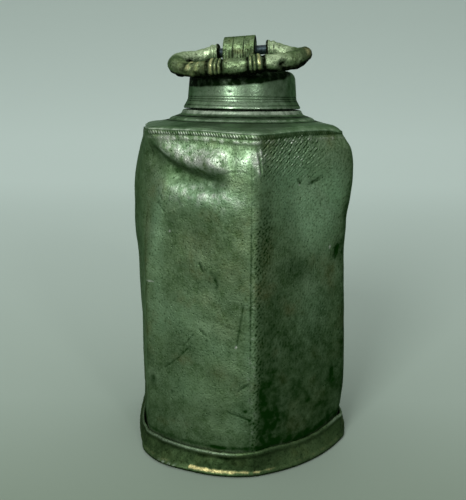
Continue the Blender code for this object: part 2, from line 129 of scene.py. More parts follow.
def add_node(
    tree: NodeTree,
    kind: str,
    inputs: dict[str | int, Any] | None = None,
    output: str | int = 0,
    **settings: Any,
) -> NodeSocket:
    """Add one shader node with its settings, values and links.

    Args:
        tree: Node tree that gets the node.
        kind: Blender's name for the kind of node.
        inputs: For each input, by name or number, a value or the output that feeds it.
        output: Name or number of the output that is wanted.
        settings: Properties of the node.

    Returns:
        That output of the new node.
    """
    made = tree.nodes.new(kind)
    for name, value in settings.items():
        setattr(made, name, value)
    for key, value in (inputs or {}).items():
        if isinstance(value, NodeSocket):
            tree.links.new(value, made.inputs[key])
        else:
            made.inputs[key].default_value = value
    return made.outputs[output]


def new_material(name: str) -> tuple[Material, NodeTree, Node]:
    """Start a material with a Principled shader.

    Args:
        name: Name of the material.

    Returns:
        The material, its node tree and its shader.
    """
    material = bpy.data.materials.new(name)
    material.use_nodes = True
    return material, material.node_tree, material.node_tree.nodes["Principled BSDF"]


# Modelling by operators


def deselect_everything() -> None:
    """Leave object mode's selection empty."""
    bpy.ops.object.select_all(action="DESELECT")
    bpy.context.view_layer.objects.active = None


def pick_only(piece: Object) -> None:
    """Select one piece and nothing else, so that an operator acts on it alone.

    Args:
        piece: The piece.
    """
    deselect_everything()
    piece.select_set(True)
    bpy.context.view_layer.objects.active = piece


@contextmanager
def edit_mode(piece: Object) -> Iterator[None]:
    """Open a piece in edit mode with all of it selected.

    Args:
        piece: The mesh to edit.
    """
    pick_only(piece)
    bpy.ops.object.mode_set(mode="EDIT")
    bpy.ops.mesh.select_all(action="SELECT")
    yield
    bpy.ops.object.mode_set(mode="OBJECT")


def place(piece: Object, points: Points) -> None:
    """Put a mesh's points at places given in millimetres.

    Args:
        piece: The mesh.
        points: One place for each vertex, in the mesh's order.
    """
    piece.data.vertices.foreach_set("co", (np.asarray(points, float) * MM).ravel())
    piece.data.update()


def places(piece: Object) -> Points:
    """Read where a mesh's points are, in millimetres.

    Args:
        piece: The mesh.

    Returns:
        An array of one row for each vertex.
    """
    found = np.zeros(len(piece.data.vertices) * 3)
    piece.data.vertices.foreach_get("co", found)
    return found.reshape(-1, 3) / MM


def paint(piece: Object, shares: dict[str, Array]) -> None:
    """Keep numbers for each vertex, which the piece's finish reads.

    Args:
        piece: The mesh.
        shares: For each attribute, by name, one number for each vertex.
    """
    for name, values in shares.items():
        layer = piece.data.attributes.new(name, "FLOAT", "POINT")
        layer.data.foreach_set("value", np.clip(values, 0.0, 1.0).astype(np.float32).ravel())


def grid_piece(name: str, points: Points) -> Object:
    """Add a grid and press it to a surface.

    Args:
        name: Name of the piece.
        points: Places in millimetres, as rows of columns.

    Returns:
        The shaped grid.
    """
    rows, columns = points.shape[:2]
    deselect_everything()
    bpy.ops.mesh.primitive_grid_add(x_subdivisions=columns - 1, y_subdivisions=rows - 1, size=2.0)
    piece = bpy.context.object
    piece.name = name
    piece.data.name = name
    place(piece, points.reshape(-1, 3))
    return piece


def thicken(piece: Object, back: Points) -> None:
    """Extrude a shaped grid to a closed sheet and press its back to a second surface.

    Args:
        piece: The shaped grid.
        back: Places of the back, in the order of the front.
    """
    front = places(piece)
    with edit_mode(piece):
        bpy.ops.mesh.extrude_region_move(TRANSFORM_OT_translate={"value": (0.0, 0.0, 0.0)})
    place(piece, np.concatenate([front, back.reshape(-1, 3)]))
    with edit_mode(piece):
        bpy.ops.mesh.normals_make_consistent(inside=False)


def close_tube(piece: Object) -> None:
    """Merge the meeting edges of a wrapped grid, close its ends and turn its faces outwards.

    Args:
        piece: The grid, wrapped so that its edges meet.
    """
    with edit_mode(piece):
        bpy.ops.mesh.remove_doubles(threshold=MERGE_DISTANCE)
        bpy.ops.mesh.fill_holes(sides=0)
        bpy.ops.mesh.select_all(action="SELECT")
        bpy.ops.mesh.normals_make_consistent(inside=False)


def turned_piece(name: str, outline: Points, segments: int) -> Object:
    """Draw an outline point by point and spin it round the neck's axis.

    Args:
        name: Name of the piece.
        outline: Radius and height of each point of a closed section.
        segments: Steps of the whole turn.

    Returns:
        The turned piece.
    """
    deselect_everything()
    bpy.ops.mesh.primitive_plane_add(size=MM)
    piece = bpy.context.object
    piece.name = name
    piece.data.name = name
    steps = np.diff(np.concatenate([[[0.0, 0.0]], outline]), axis=0) * MM
    with edit_mode(piece):
        bpy.ops.mesh.merge(type="CENTER")
        bpy.ops.transform.translate(value=(steps[0][0], 0.0, steps[0][1]))
        for across, up in steps[1:]:
            bpy.ops.mesh.extrude_region_move(TRANSFORM_OT_translate={"value": (across, 0.0, up)})
        back = (outline[0] - outline[-1]) * MM
        bpy.ops.mesh.extrude_region_move(TRANSFORM_OT_translate={"value": (back[0], 0.0, back[1])})
        bpy.ops.mesh.select_all(action="SELECT")
        bpy.ops.mesh.remove_doubles(threshold=MERGE_DISTANCE)
        bpy.ops.mesh.spin(steps=segments, angle=math.tau, center=(0, 0, 0), axis=(0, 0, 1))
        bpy.ops.mesh.select_all(action="SELECT")
        bpy.ops.mesh.remove_doubles(threshold=MERGE_DISTANCE)
        bpy.ops.mesh.delete_loose()
        bpy.ops.mesh.select_all(action="SELECT")
        bpy.ops.mesh.normals_make_consistent(inside=False)
    return piece


def cut_away(piece: Object, tool: Object) -> None:
    """Subtract a tool from a piece and delete the tool.

    Args:
        piece: The piece to cut.
        tool: The body that is taken out of it.
    """
    modifier = piece.modifiers.new("drill", "BOOLEAN")
    modifier.operation = "DIFFERENCE"
    modifier.solver = "EXACT"
    modifier.object = tool
    pick_only(piece)
    bpy.ops.object.modifier_apply(modifier=modifier.name)
    bpy.data.objects.remove(tool)


def hand_over(piece: Object, material: Material, body: Body, slot: Slot, *nodes: str) -> None:
    """Finish a piece: shading, material, the body it rides on and the solids it stands for.

    Args:
        piece: The piece.
        material: Its finish.
        body: Body that it moves with.
        slot: Material slot of the record; not used.
        nodes: Solids that aren't shown because of it.
    """
    pick_only(piece)
    bpy.ops.object.shade_smooth_by_angle(angle=SMOOTH_ANGLE)
    piece.data.materials.clear()
    piece.data.materials.append(material)
    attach(piece, body.value)
    if nodes:
        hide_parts(*nodes)
    LOG.info("%s: %d faces, rides on %s", piece.name, len(piece.data.polygons), body.value)


# Forms shared by the pieces


def hump(offset: Array, reach: Array | float) -> Array:
    """A smooth hump: one at the middle and nothing past its reach.

    Args:
        offset: Distances from the middle.
        reach: Distance at which the hump ends.

    Returns:
        Heights from zero to one.
    """
    return np.where(np.abs(offset) < reach, np.cos(np.pi / 2 * offset / reach) ** 2, 0.0)


def bell(offset: Array, width: Array | float) -> Array:
    """A bell curve that is one in the middle."""
    return np.exp(-((offset / width) ** 2))


def step_up(value: Array, low: float, high: float) -> Array:
    """Rise smoothly from zero at one value to one at another.

    Args:
        value: Where to measure.
        low: Value at which the rise starts.
        high: Value at which it ends.

    Returns:
        Heights from zero to one.
    """
    share = np.clip((value - low) / (high - low), 0.0, 1.0)
    return share * share * (3 - 2 * share)


def step_down(value: Array, low: float, high: float) -> Array:
    """Fall smoothly from one at a low value to zero at a high one."""
    return 1 - step_up(value, low, high)


def highest(*shares: Array | float) -> Array:
    """Highest of several shares at each point."""
    return np.maximum.reduce(np.broadcast_arrays(*shares))


def ripple(seed: int, wavelength: float, across: Array, up: Array) -> Array:
    """Irregular waves such as hand work leaves, the same in every run.

    Args:
        seed: Number that sets the pattern.
        wavelength: Middle length of the waves, in millimetres.
        across: First coordinate of each point, in millimetres.
        up: Second coordinate of each point.

    Returns:
        Heights of about minus one to one.
    """
    random = np.random.default_rng(seed)
    total = np.zeros(np.broadcast(across, up).shape)
    waves = 12
    for _ in range(waves):
        turn = random.uniform(0, math.tau)
        count = math.tau / (wavelength * random.uniform(0.7, 1.6))
        phase = random.uniform(0, math.tau)
        total += np.sin(count * (across * math.cos(turn) + up * math.sin(turn)) + phase)
    return total / math.sqrt(waves)


def degrees_apart(angle: Array, degrees: float) -> Array:
    """Signed degrees from a direction to each angle.

    Args:
        angle: Angles in radians.
        degrees: The direction.

    Returns:
        Differences from -180 to 180 degrees.
    """
    return (np.degrees(angle) - degrees + 180) % 360 - 180


def round_body(angle: Array, radius: Array, z: Array) -> Points:
    """Places at angles and distances from the axis.

    Args:
        angle: Angles in radians.
        radius: Distances from the axis.
        z: Heights.

    Returns:
        Places with a last axis of three.
    """
    return np.stack(np.broadcast_arrays(radius * np.sin(angle), -radius * np.cos(angle), z), axis=-1)


def smooth_line(points: Sequence[Sequence[float]], spacing: float, softness: float) -> Points:
    """Resample a line of points closely and round its corners a little.

    Args:
        points: Corners of the line, any number of coordinates each.
        spacing: Distance between the new points.
        softness: Length over which corners are rounded.

    Returns:
        The new points, ends kept.
    """
    corners = np.asarray(points, float)
    lengths = np.linalg.norm(np.diff(corners, axis=0), axis=1)
    along = np.concatenate([[0.0], np.cumsum(lengths)])
    count = max(2, int(round(along[-1] / spacing)) + 1)
    wanted = np.linspace(0.0, along[-1], count)
    offsets = np.linspace(-softness / 2, softness / 2, 9)
    reach = np.minimum(1.0, np.minimum(wanted, along[-1] - wanted) / (softness / 2 + 1e-9))
    line = np.zeros((count, corners.shape[1]))
    for offset in offsets:
        for axis in range(corners.shape[1]):
            line[:, axis] += np.interp(wanted + offset * reach, along, corners[:, axis])
    return line / len(offsets)


@dataclass(frozen=True)
class Swell:
    """A swelling of the wall, or a hollow where its height is negative."""

    angle: float
    z: float
    reach: float
    up: float
    down: float
    height: float

    def relief(self, angle: Array, z: Array) -> Array:
        """Height over the true wall.

        Args:
            angle: Angles in radians.
            z: Heights.

        Returns:
            A height for each point.
        """
        rise = z - self.z
        reach = np.where(rise > 0, self.up, self.down)
        return self.height * hump(degrees_apart(angle, self.angle), self.reach) * hump(rise, reach)


@dataclass(frozen=True)
class Crease:
    """A valley along a bent line on the wall, with its own steepness above and below the line."""

    path: Outline
    above: float
    below: float
    depth: float
    fade: float = 10.0
    wall_radius: float = 52.0

    def relief(self, angle: Array, z: Array) -> Array:
        """Height over the true wall, negative in the valley.

        Args:
            angle: Angles in radians.
            z: Heights.

        Returns:
            A height for each point.
        """
        to_mm = math.radians(self.wall_radius)
        last = len(self.path) - 2
        nearest = np.full(np.shape(angle), np.inf)
        total = np.zeros(np.shape(angle))
        for leg, (start, end) in enumerate(zip(self.path, self.path[1:])):
            run_x, run_z = (end[0] - start[0]) * to_mm, end[1] - start[1]
            length = math.hypot(run_x, run_z)
            x = degrees_apart(angle, start[0]) * to_mm
            rise = z - start[1]
            along = (x * run_x + rise * run_z) / length
            over = (rise * run_x - x * run_z) / length
            before, after = np.maximum(0.0, -along), np.maximum(0.0, along - length)
            distance = np.hypot(over, before + after)
            # The line's ends fade, and its bends are rounded
            past_end = before * (leg == 0) + after * (leg == last)
            bend = before * (leg > 0) + after * (leg < last)
            away = np.copysign(np.hypot(over, bend), over)
            width = np.where(away > 0, self.above, self.below)
            here = -self.depth * bell(away, width) * hump(past_end, self.fade)
            total = np.where(distance < nearest, here, total)
            nearest = np.minimum(nearest, distance)
        return total


@dataclass(frozen=True)
class Patch:
    """A cloudy patch of the wall's skin: its place, its reach across in degrees and up, and its share."""

    angle: float
    z: float
    wide: float
    tall: float
    share: float

    def cover(self, angle: Array, z: Array) -> Array:
        """Share of the patch at each point."""
        return self.share * bell(degrees_apart(angle, self.angle), self.wide) * bell(z - self.z, self.tall)


@dataclass(frozen=True)
class BodyForm:
    """The leaning, bowed hexagon that walls, foot and shoulder follow."""

    corner_rounding: float = 6.0
    bottom_radius: float = 62.3
    top_radius: float = 58.2
    top_z: float = 171.6
    twist: float = math.radians(1.0)
    shift: Span = (-2.1, -0.8)
    face_roundness: tuple[float, ...] = (0.62, 0.30, 0.45, 0.55, 0.45, 0.40)
    rim_roundness: tuple[float, ...] = (1.06, 0.74, 0.80, 0.95, 0.70, 0.34)
    dip: float = 1.0
    dip_angle: float = 30.0
    dip_reach: float = 34.0
    left_trim: float = 1.4
    trim_angle: float = -30.0
    trim_reach: float = 22.0

    def rim_dip(self, angle: Array) -> Array:
        """How far the rim is beaten down beside the front corner."""
        return self.dip * hump(degrees_apart(angle, self.dip_angle), self.dip_reach)

    def trim(self, angle: Array) -> Array:
        """How much the rim is rubbed down at its left corner."""
        return self.left_trim * hump(degrees_apart(angle, self.trim_angle), self.trim_reach)

    def hexagon(self, corner_radius: Array, rounding: Array | float, angle: Array) -> Array:
        """Distance from the axis to a hexagon with rounded corners.

        Args:
            corner_radius: Distance to the sharp corner.
            rounding: Radius of the rounded corner.
            angle: Angles in radians.

        Returns:
            A distance for each angle.
        """
        off = np.abs((angle - FIRST_CORNER + HALF_STEP) % CORNER_STEP - HALF_STEP)
        centre = corner_radius - rounding / math.cos(HALF_STEP)
        arc_end = np.arctan2(rounding * math.sin(HALF_STEP), centre + rounding * math.cos(HALF_STEP))
        inside = np.maximum(0.0, rounding**2 - (centre * np.sin(off)) ** 2)
        on_arc = centre * np.cos(off) + np.sqrt(inside)
        on_face = corner_radius * math.cos(HALF_STEP) / np.cos(HALF_STEP - off)
        return np.where(off < arc_end, on_arc, on_face)

    def bow(self, corner_radius: Array, angle: Array, flare: Array | float) -> Array:
        """How far a face bows out at the foot, towards the circle through its corners.

        Args:
            corner_radius: Distance to the corners.
            angle: Angles in radians.
            flare: Zero for the wall's own bow and one for the foot's rim.

        Returns:
            A distance for each angle.
        """
        face = ((angle + HALF_STEP) // CORNER_STEP).astype(int) % CORNERS
        off = (angle + HALF_STEP) % CORNER_STEP - HALF_STEP
        to_circle = corner_radius * (1 - math.cos(HALF_STEP) / np.cos(off))
        wall = np.array(self.face_roundness)[face]
        rim = np.array(self.rim_roundness)[face]
        return to_circle * (wall + (rim - wall) * flare)

    def lean(self, points: Points, share: Array | float) -> Points:
        """Shift points with the pushed-over body.

        Args:
            points: Places round the axis.
            share: Zero at the table and one at the shoulder.

        Returns:
            The shifted places.
        """
        moved = points.copy()
        moved[..., 0] += self.shift[0] * share
        moved[..., 1] += self.shift[1] * share
        return moved


@dataclass
class WallBody:
    """Six sheets of pewter, each folded round one corner and soldered to the next."""

    form: BodyForm
    thickness: float = 2.2
    bottom_z: float = 4.3
    seam_from_corner: float = math.radians(2.4)
    joint_gap: float = 0.03
    fine_panels: tuple[int, ...] = (1, 2)
    fine_steps: tuple[float, float, float] = (0.40, 0.70, 0.38)
    plain_steps: tuple[float, float, float] = (1.1, 1.3, 1.0)
    busy_z: float = 126.0
    fade_foot: Span = (14.0, 34.0)
    fade_top: float = 8.0
    soft_corner: float = -30.0
    soft_rounding: float = 22.0
    soft_reach: float = 28.0
    soft_from: Span = (100.0, 150.0)
    soft_below_rim: float = 14.0
    left_pinch: float = 1.1
    pinch_angle: float = -52.0
    pinch_reach: float = 44.0
    pinch_until: Span = (20.0, 48.0)
    sharp_corner: float = 30.0
    sharp_rounding: float = 4.2
    sharp_reach: float = 12.0
    sharp_until: Span = (120.0, 150.0)
    left_sharp_until: Span = (104.0, 128.0)
    trim_from: float = 150.0
    dip_from: float = 140.0
    edge_roll: float = 0.05
    edge_roll_width: float = 0.4
    rail_z: float = 169.6
    rail_height: float = 0.22
    rail_width: float = 1.2
    swells: tuple[Swell, ...] = (
        Swell(-62, 140, 44, 40, 95, 5.2),
        Swell(-62, 98, 40, 24, 26, -0.5),
        Swell(88, 155, 34, 30, 50, 5.5),
        Swell(90, 50, 42, 150, 120, 2.8),
        Swell(56, 140, 24, 26, 40, -1.8),
        # The front panel folds back to the rim beside its corner, with two humps on the fold
        Swell(18, 150, 27, 21, 80, 2.4),
        Swell(8.0, 159.5, 9, 9.0, 7.0, 1.1),
        Swell(24, 160.5, 9, 9, 8, 0.8),
        Swell(0, 142, 27, 9, 20, 1.5),
    )
    creases: tuple[Crease, ...] = (
        # The crease across the front panel, with the ridge that hangs over it
        Crease(((-27, 161.6), (-20.5, 157.8), (-14.5, 154.6), (-6, 152.2), (2.6, 150.6), (7, 150.0)),
               3.2, 7.0, 3.0, 10.5),
        Crease(((-20, 163.6), (-15.5, 161.2), (-6, 158.4), (3, 157.0), (11, 157.0)), 8.5, 3.0, -1.6, 8.0),
        Crease(((70, 148), (84, 132)), 5.0, 5.0, 1.4, 15.0),
    )
    marks: tuple[Crease, ...] = (
        # A small ledge under the right hump, turning down beside the corner
        Crease(((14.5, 154.2), (17.5, 155.4), (23.0, 155.9), (26.7, 154.8), (28.2, 152.2), (27.9, 149.0)),
               0.4, 0.6, 0.07, 2.5),
        # Dents and nicks of the right panel
        Crease(((58.0, 149.3), (59.2, 148.6)), 1.3, 1.0, 0.18, 2.0),
        Crease(((66.6, 148.0), (68.4, 148.4), (70.4, 149.6)), 1.0, 1.2, 0.24, 2.5),
        Crease(((84.4, 113.5), (83.0, 108.0)), 0.9, 0.9, 0.3, 2.0),
        Crease(((81.5, 46.0), (80.5, 39.0)), 0.8, 0.8, 0.25, 1.5),
        # Scratches and nicks of the front panel
        Crease(((-19.2, 51.1), (-11.2, 57.9), (-5.3, 64.5)), 0.5, 0.5, 0.22, 1.5),
        Crease(((-7.7, 65.7), (-2.5, 71.9)), 0.45, 0.45, 0.16, 1.5),
        Crease(((1.5, 75.1), (4.9, 72.8)), 0.5, 0.5, 0.22, 1.0),
        Crease(((24.1, 89.2), (21.3, 69.9)), 0.45, 0.45, 0.2, 2.0),
        Crease(((10.5, 80.5), (25.5, 75.5)), 0.4, 0.4, 0.12, 2.0),
        Crease(((21.9, 45.0), (26.5, 49.3)), 0.5, 0.5, 0.2, 1.5),
        Crease(((17.5, 32.9), (23.0, 31.5), (27.4, 30.0)), 0.55, 0.55, 0.2, 2.0),
        Crease(((1.0, 109.6), (2.9, 105.4)), 0.6, 0.6, 0.3, 0.8),
        Crease(((-12.0, 140.2), (-10.6, 138.0)), 1.0, 1.0, 0.14, 1.5),
        Crease(((-24.2, 143.6), (-23.6, 141.8)), 0.6, 0.6, 0.16, 0.8),
        Crease(((-22.4, 141.0), (-21.8, 139.8)), 0.6, 0.6, 0.18, 0.8),
        Crease(((-24.0, 138.0), (-22.6, 136.0)), 0.6, 0.6, 0.16, 0.8),
        Crease(((-21.6, 135.0), (-20.2, 133.6)), 0.6, 0.6, 0.18, 0.8),
        Crease(((-16.0, 133.6), (-12.0, 135.4), (-7.6, 137.0)), 0.7, 0.7, -0.14, 2.0),
        Crease(((9.6, 103.0), (10.8, 99.5), (10.4, 97.5)), 0.7, 0.7, 0.16, 1.5),
        Crease(((7.4, 105.5), (8.2, 104.2)), 0.7, 0.7, 0.14, 0.8),
    )
    wrinkles: tuple[Crease, ...] = (
        # Standing folds in the front corner
        Crease(((29.9, 163.8), (30.7, 159.7), (31.0, 156.0)), 0.55, 0.55, -0.5, 3.0),
        Crease(((32.0, 165.0), (32.6, 161.0), (32.8, 155.9)), 0.5, 0.5, -0.6, 3.0),
        Crease(((33.8, 162.0), (34.2, 156.7)), 0.5, 0.5, -0.45, 3.0),
    )
    blooms_and_highlights: tuple[Patch, ...] = (
        # Pale blue-grey clouds of the oxide, and painted highlights on the front ridge, the light zone under
        # the crease and the top and right edge of the right panel
        Patch(-4, 144, 16, 6, 1.0), Patch(14, 142, 13, 7, 0.6), Patch(-24, 132, 4, 14, 0.5),
        Patch(7, 161, 7, 5, 0.4), Patch(24, 161.5, 7, 5, 0.35), Patch(-10, 164.5, 10, 3.5, 0.55),
        Patch(-24.5, 106, 4.5, 26, 0.5), Patch(-12, 80, 12, 9, 0.35), Patch(-22, 75, 5, 8, 0.25),
        Patch(-7, 43, 12, 8, 0.3), Patch(22, 29, 5, 8, 0.3), Patch(52, 156, 20, 13, 1.0),
        Patch(58, 136, 20, 12, 0.65), Patch(68, 122, 13, 12, 0.7), Patch(70, 138, 12, 11, 0.5),
        Patch(79, 144, 6, 14, 0.8), Patch(35, 132, 5, 10, 0.35), Patch(10, 68, 12, 9, 0.3),
        Patch(66, 82, 10, 16, 0.45), Patch(27.5, 74, 2.8, 46, 0.55),
    )
    warms: tuple[Patch, ...] = (
        # Olive and brown stains
        Patch(-31.5, 100, 2.2, 40, 0.6), Patch(-24.5, 108, 4.0, 26, 0.3),
        Patch(3, 118, 10, 9, 0.45), Patch(5, 91, 4, 4, 0.5), Patch(12, 54, 5, 4, 0.7),
        Patch(24, 125, 5, 30, 0.4), Patch(27.8, 82, 2.4, 44, 0.4), Patch(17, 107, 6, 6, 0.5),
        Patch(15, 76, 8, 7, 0.4), Patch(-5, 120, 8, 5, 0.35), Patch(36, 125, 4.5, 28, 0.6),
        Patch(34.5, 123, 4.0, 10, 0.5), Patch(66, 28, 16, 9, 0.5), Patch(67, 108, 3, 3, 0.7),
        Patch(49.5, 85, 3, 4, 0.6), Patch(20, 149, 8, 4, 0.5),
    )
    smudges_and_shade: tuple[Patch, ...] = (
        # Dark clouds where dirt has bitten in, and painted shade along the right panel's far edge
        Patch(-26.6, 43, 2.4, 4.0, 0.8), Patch(42, 44, 8, 16, 0.1), Patch(51, 133, 5, 5, 0.22),
        Patch(88.5, 130, 2.4, 22, 0.5), Patch(39, 26, 9, 10, 0.08), Patch(-28.5, 55, 2.0, 4.0, 0.5),
        Patch(-14.7, 38.8, 0.8, 0.9, 0.8), Patch(5.5, 70.0, 0.7, 0.8, 0.9),
        Patch(25.4, 34.5, 1.1, 0.8, 0.9), Patch(-10, 132.5, 5, 2.6, 0.35),
        Patch(-17, 126.5, 3.4, 4.0, 0.4), Patch(9.5, 101, 5, 5, 0.3),
        Patch(88.5, 95, 2.5, 45, 0.35), Patch(9, 55, 6, 3.4, 0.45), Patch(54, 106, 10, 5.5, 0.6),
        Patch(84, 112, 3, 6, 0.7), Patch(81.5, 43, 3, 6, 0.5), Patch(36, 23, 5, 10, 0.5),
        Patch(33.5, 43, 2.5, 7, 0.45), Patch(41, 91, 4, 9, 0.25), Patch(39, 72, 5, 14, 0.25),
        Patch(35, 130, 4, 16, 0.5),
    )
    polish_and_highlights: tuple[Patch, ...] = (
        # Painted highlights on the heights of the front panel and the top of its corner, where hands also
        # keep the metal clean, then fresh knocks down to bright metal, painted as small glints
        Patch(7, 161, 8, 5, 0.15), Patch(24, 160.5, 7, 6, 0.15), Patch(-5, 143.5, 17, 5, 0.28),
        Patch(15, 142, 12, 6, 0.2), Patch(29.3, 163, 2.2, 6, 0.35),
        Patch(79.2, 113.9, 0.5, 0.8, 1.6), Patch(33.4, 41.9, 0.5, 0.6, 1.4),
        Patch(20.8, 68.5, 0.5, 0.6, 1.2), Patch(-28.1, 96.5, 1.8, 0.5, 0.9),
        Patch(58.9, 147.4, 0.5, 0.6, 1.3), Patch(-17.0, 124.0, 0.45, 0.5, 1.2),
    )
    hatch_angles: Span = (33.0, 80.0)
    hatch_fade: float = 24.0
    hatch_z: Span = (145.0, 171.0)
    hatch_pitch: float = 1.6
    hatch_depth: float = 0.33
    hatch_overlap: float = 1.7
    hatch_strokes: Outline = (
        # Lean in radians, pitch and phase of strokes that were cut over each other
        (0.77, 1.0, 0.0), (0.93, 1.38, 1.9), (1.09, 0.78, 4.1),
    )
    # Shares of bright metal, and of a painted highlight on the ridge
    corner_shine: float = 0.15
    rail_shine: float = 0.2
    stroke_shine: float = 0.8
    ridge_highlight: float = 0.2
    fold_shine: float = 0.7
    # Shares of dirt and of painted shade, for marks by the millimetre of their depth
    rim_shade: float = 0.5
    mark_dirt: float = 3.4
    crease_shade: float = 0.17
    seam_dirt: float = 0.6
    corner_dirt: float = 0.22
    left_corner_dirt: float = 0.35
    front_low_shade: float = 0.36
    right_low_shade: float = 0.70
    left_panel_shade: float = 0.36
    right_freckles: float = 0.25

    def columns(self, panel: int) -> Array:
        """Angles across one panel, from its seam round its corner to the next seam.

        Args:
            panel: Number of the panel, from one.

        Returns:
            The angles in radians.
        """
        corner = FIRST_CORNER + CORNER_STEP * (panel - 2)
        half_gap = self.joint_gap / 2 / self.form.top_radius
        start = corner - self.seam_from_corner + half_gap
        end = corner + CORNER_STEP - self.seam_from_corner - half_gap
        step = (self.fine_steps if panel in self.fine_panels else self.plain_steps)[0]
        count = int((end - start) * self.form.top_radius / step) + 1
        return np.linspace(start, end, count)

    def heights(self, panel: int) -> Array:
        """Heights of the rows of one panel, closer together in its busy upper part.

        Args:
            panel: Number of the panel, from one.

        Returns:
            The heights.
        """
        _, low_step, high_step = self.fine_steps if panel in self.fine_panels else self.plain_steps
        low_count = int((self.busy_z - self.bottom_z) / low_step)
        high_count = int((self.form.top_z - self.busy_z) / high_step)
        low = np.linspace(self.bottom_z, self.busy_z, low_count + 1)[:-1]
        return np.concatenate([low, np.linspace(self.busy_z, self.form.top_z, high_count + 1)])

    def damage(self, angle: Array, z: Array) -> Array:
        """Height of swellings and creases over the true wall.

        Args:
            angle: Angles in radians.
            z: Heights.

        Returns:
            A height for each point.
        """
        total = sum(item.relief(angle, z) for item in self.swells + self.creases)
        low, high = self.fade_foot
        from_foot = np.clip((z - low) / (high - low), 0.0, 1.0)
        from_top = np.clip((self.form.top_z - z) / self.fade_top, 0.0, 1.0)
        return total * np.sin(np.pi / 2 * from_foot) * np.sin(np.pi / 2 * from_top)

    def fine_relief(self, angle: Array, z: Array, columns: Array) -> Array:
        """Height of what is too small for the solids.

        Args:
            angle: Angles in radians.
            z: Heights.
            columns: The panel's angles from seam to seam.

        Returns:
            A height for each point.
        """
        across = angle * self.form.top_radius
        hand = 0.16 * ripple(5, 24.0, across, z) + 0.035 * ripple(8, 8.0, across, z)
        marks = sum(item.relief(angle, z) for item in self.marks + self.wrinkles)
        rail = self.rail_height * bell(z - self.rail_z, self.rail_width)
        to_seam = np.minimum(angle - columns[0], columns[-1] - angle) * self.form.top_radius
        roll = -self.edge_roll * bell(to_seam, self.edge_roll_width)
        calm = step_up(z, 10.0, 24.0) * step_up(self.form.top_z - z, 1.0, 6.0)
        return hand * calm + marks + rail + roll + self.hatch(angle, z)

    def hatch(self, angle: Array, z: Array) -> Array:
        """Height of the slanting tool marks at the top of the right panel.

        Args:
            angle: Angles in radians.
            z: Heights.

        Returns:
            A height for each point.
        """
        (first, last), (low, high) = self.hatch_angles, self.hatch_z
        degrees = np.degrees(angle)
        there = step_up(degrees, first - 3, first + 3) * step_down(degrees, last - self.hatch_fade, last)
        there = there * step_up(z, low, high - 5)
        across = angle * self.form.top_radius
        strokes = np.zeros(np.shape(angle))
        for lean, pitch, phase in self.hatch_strokes:
            run = across * math.cos(lean) - z * math.sin(lean)
            strokes = strokes + np.sin(math.tau * run / (pitch * self.hatch_pitch) + phase)
        broken = np.clip(0.7 + 0.9 * ripple(12, 2.2, across, z), 0.0, 1.4)
        return self.hatch_depth * strokes / self.hatch_overlap * broken * there

    def surface(self, angle: Array, z: Array, inward: Array | float) -> Points:
        """Places on the wall, or behind it.

        Args:
            angle: Angles in radians.
            z: Heights.
            inward: Distance behind the dented outer face.

        Returns:
            A place for each point.
        """
        form = self.form
        share = z / form.top_z
        corner_radius = form.bottom_radius + (form.top_radius - form.bottom_radius) * share
        to_left, to_front = degrees_apart(angle, self.soft_corner), degrees_apart(angle, self.sharp_corner)
        softened = self.soft_rounding * hump(to_left, self.soft_reach)
        softened = softened * step_up(z, *self.soft_from) * step_up(form.top_z - z, 0.0, self.soft_below_rim)
        sharper = self.sharp_rounding * hump(to_front, self.sharp_reach)
        sharper = sharper * step_down(z, *self.sharp_until)
        at_left = self.sharp_rounding * hump(to_left, self.sharp_reach)
        sharper = sharper + at_left * step_down(z, *self.left_sharp_until)
        radius = form.hexagon(corner_radius, form.corner_rounding + softened - sharper, angle)
        radius = radius + form.bow(corner_radius, angle, 0.0) * (1 - share)
        radius = radius - form.trim(angle) * step_up(z, self.trim_from, form.top_z)
        pinched = self.left_pinch * hump(degrees_apart(angle, self.pinch_angle), self.pinch_reach)
        radius = radius + self.damage(angle, z) - pinched * step_down(z, *self.pinch_until) - inward
        lowered = z - form.rim_dip(angle) * step_up(z, self.dip_from, form.top_z)
        return form.lean(round_body(angle + form.twist * share, radius, lowered), share)

    def build(self, material: Material) -> None:
        """Model and dress the six panels.

        Args:
            material: Finish of the sheet.
        """
        for panel in range(1, CORNERS + 1):
            columns = self.columns(panel)
            angle, z = np.meshgrid(columns, self.heights(panel))
            relief = self.fine_relief(angle, z, columns)
            sheet = grid_piece(f"dented_panel_{panel}", self.surface(angle, z, -relief))
            thicken(sheet, self.surface(angle, z, self.thickness))
            paint(sheet, self.wear(angle, z))
            hand_over(sheet, material, Body.FLASK, Slot.WALL, f"wall_panel_{panel}")

    def wear(self, angle: Array, z: Array) -> dict[str, Array]:
        """Where a sheet's front is pale, stained, dirty and rubbed bright, and where shade and highlights are
        painted on it. Its back is plain.

        Args:
            angle: Angles of its front.
            z: Heights of its front.

        Returns:
            Shares by the name of the attribute that keeps them.
        """
        back = np.zeros(angle.size)
        shares = {}
        for name, base, patches in (
            ("pale", 0.0, self.blooms_and_highlights),
            ("warm", 0.0, self.warms),
            ("dirt_and_shade", self.dirt_and_shade(angle, z), self.smudges_and_shade),
            ("rubbed_and_highlight", self.rubbed_and_highlight(angle, z), self.polish_and_highlights),
        ):
            front = base + sum(patch.cover(angle, z) for patch in patches)
            shares[name] = np.concatenate([front.ravel(), back])
        return shares

    def along_wall(self, angle: Array, degrees: float) -> Array:
        """Millimetres along the wall from a direction, positive to the right of it."""
        return degrees_apart(angle, degrees) * math.radians(self.form.top_radius)

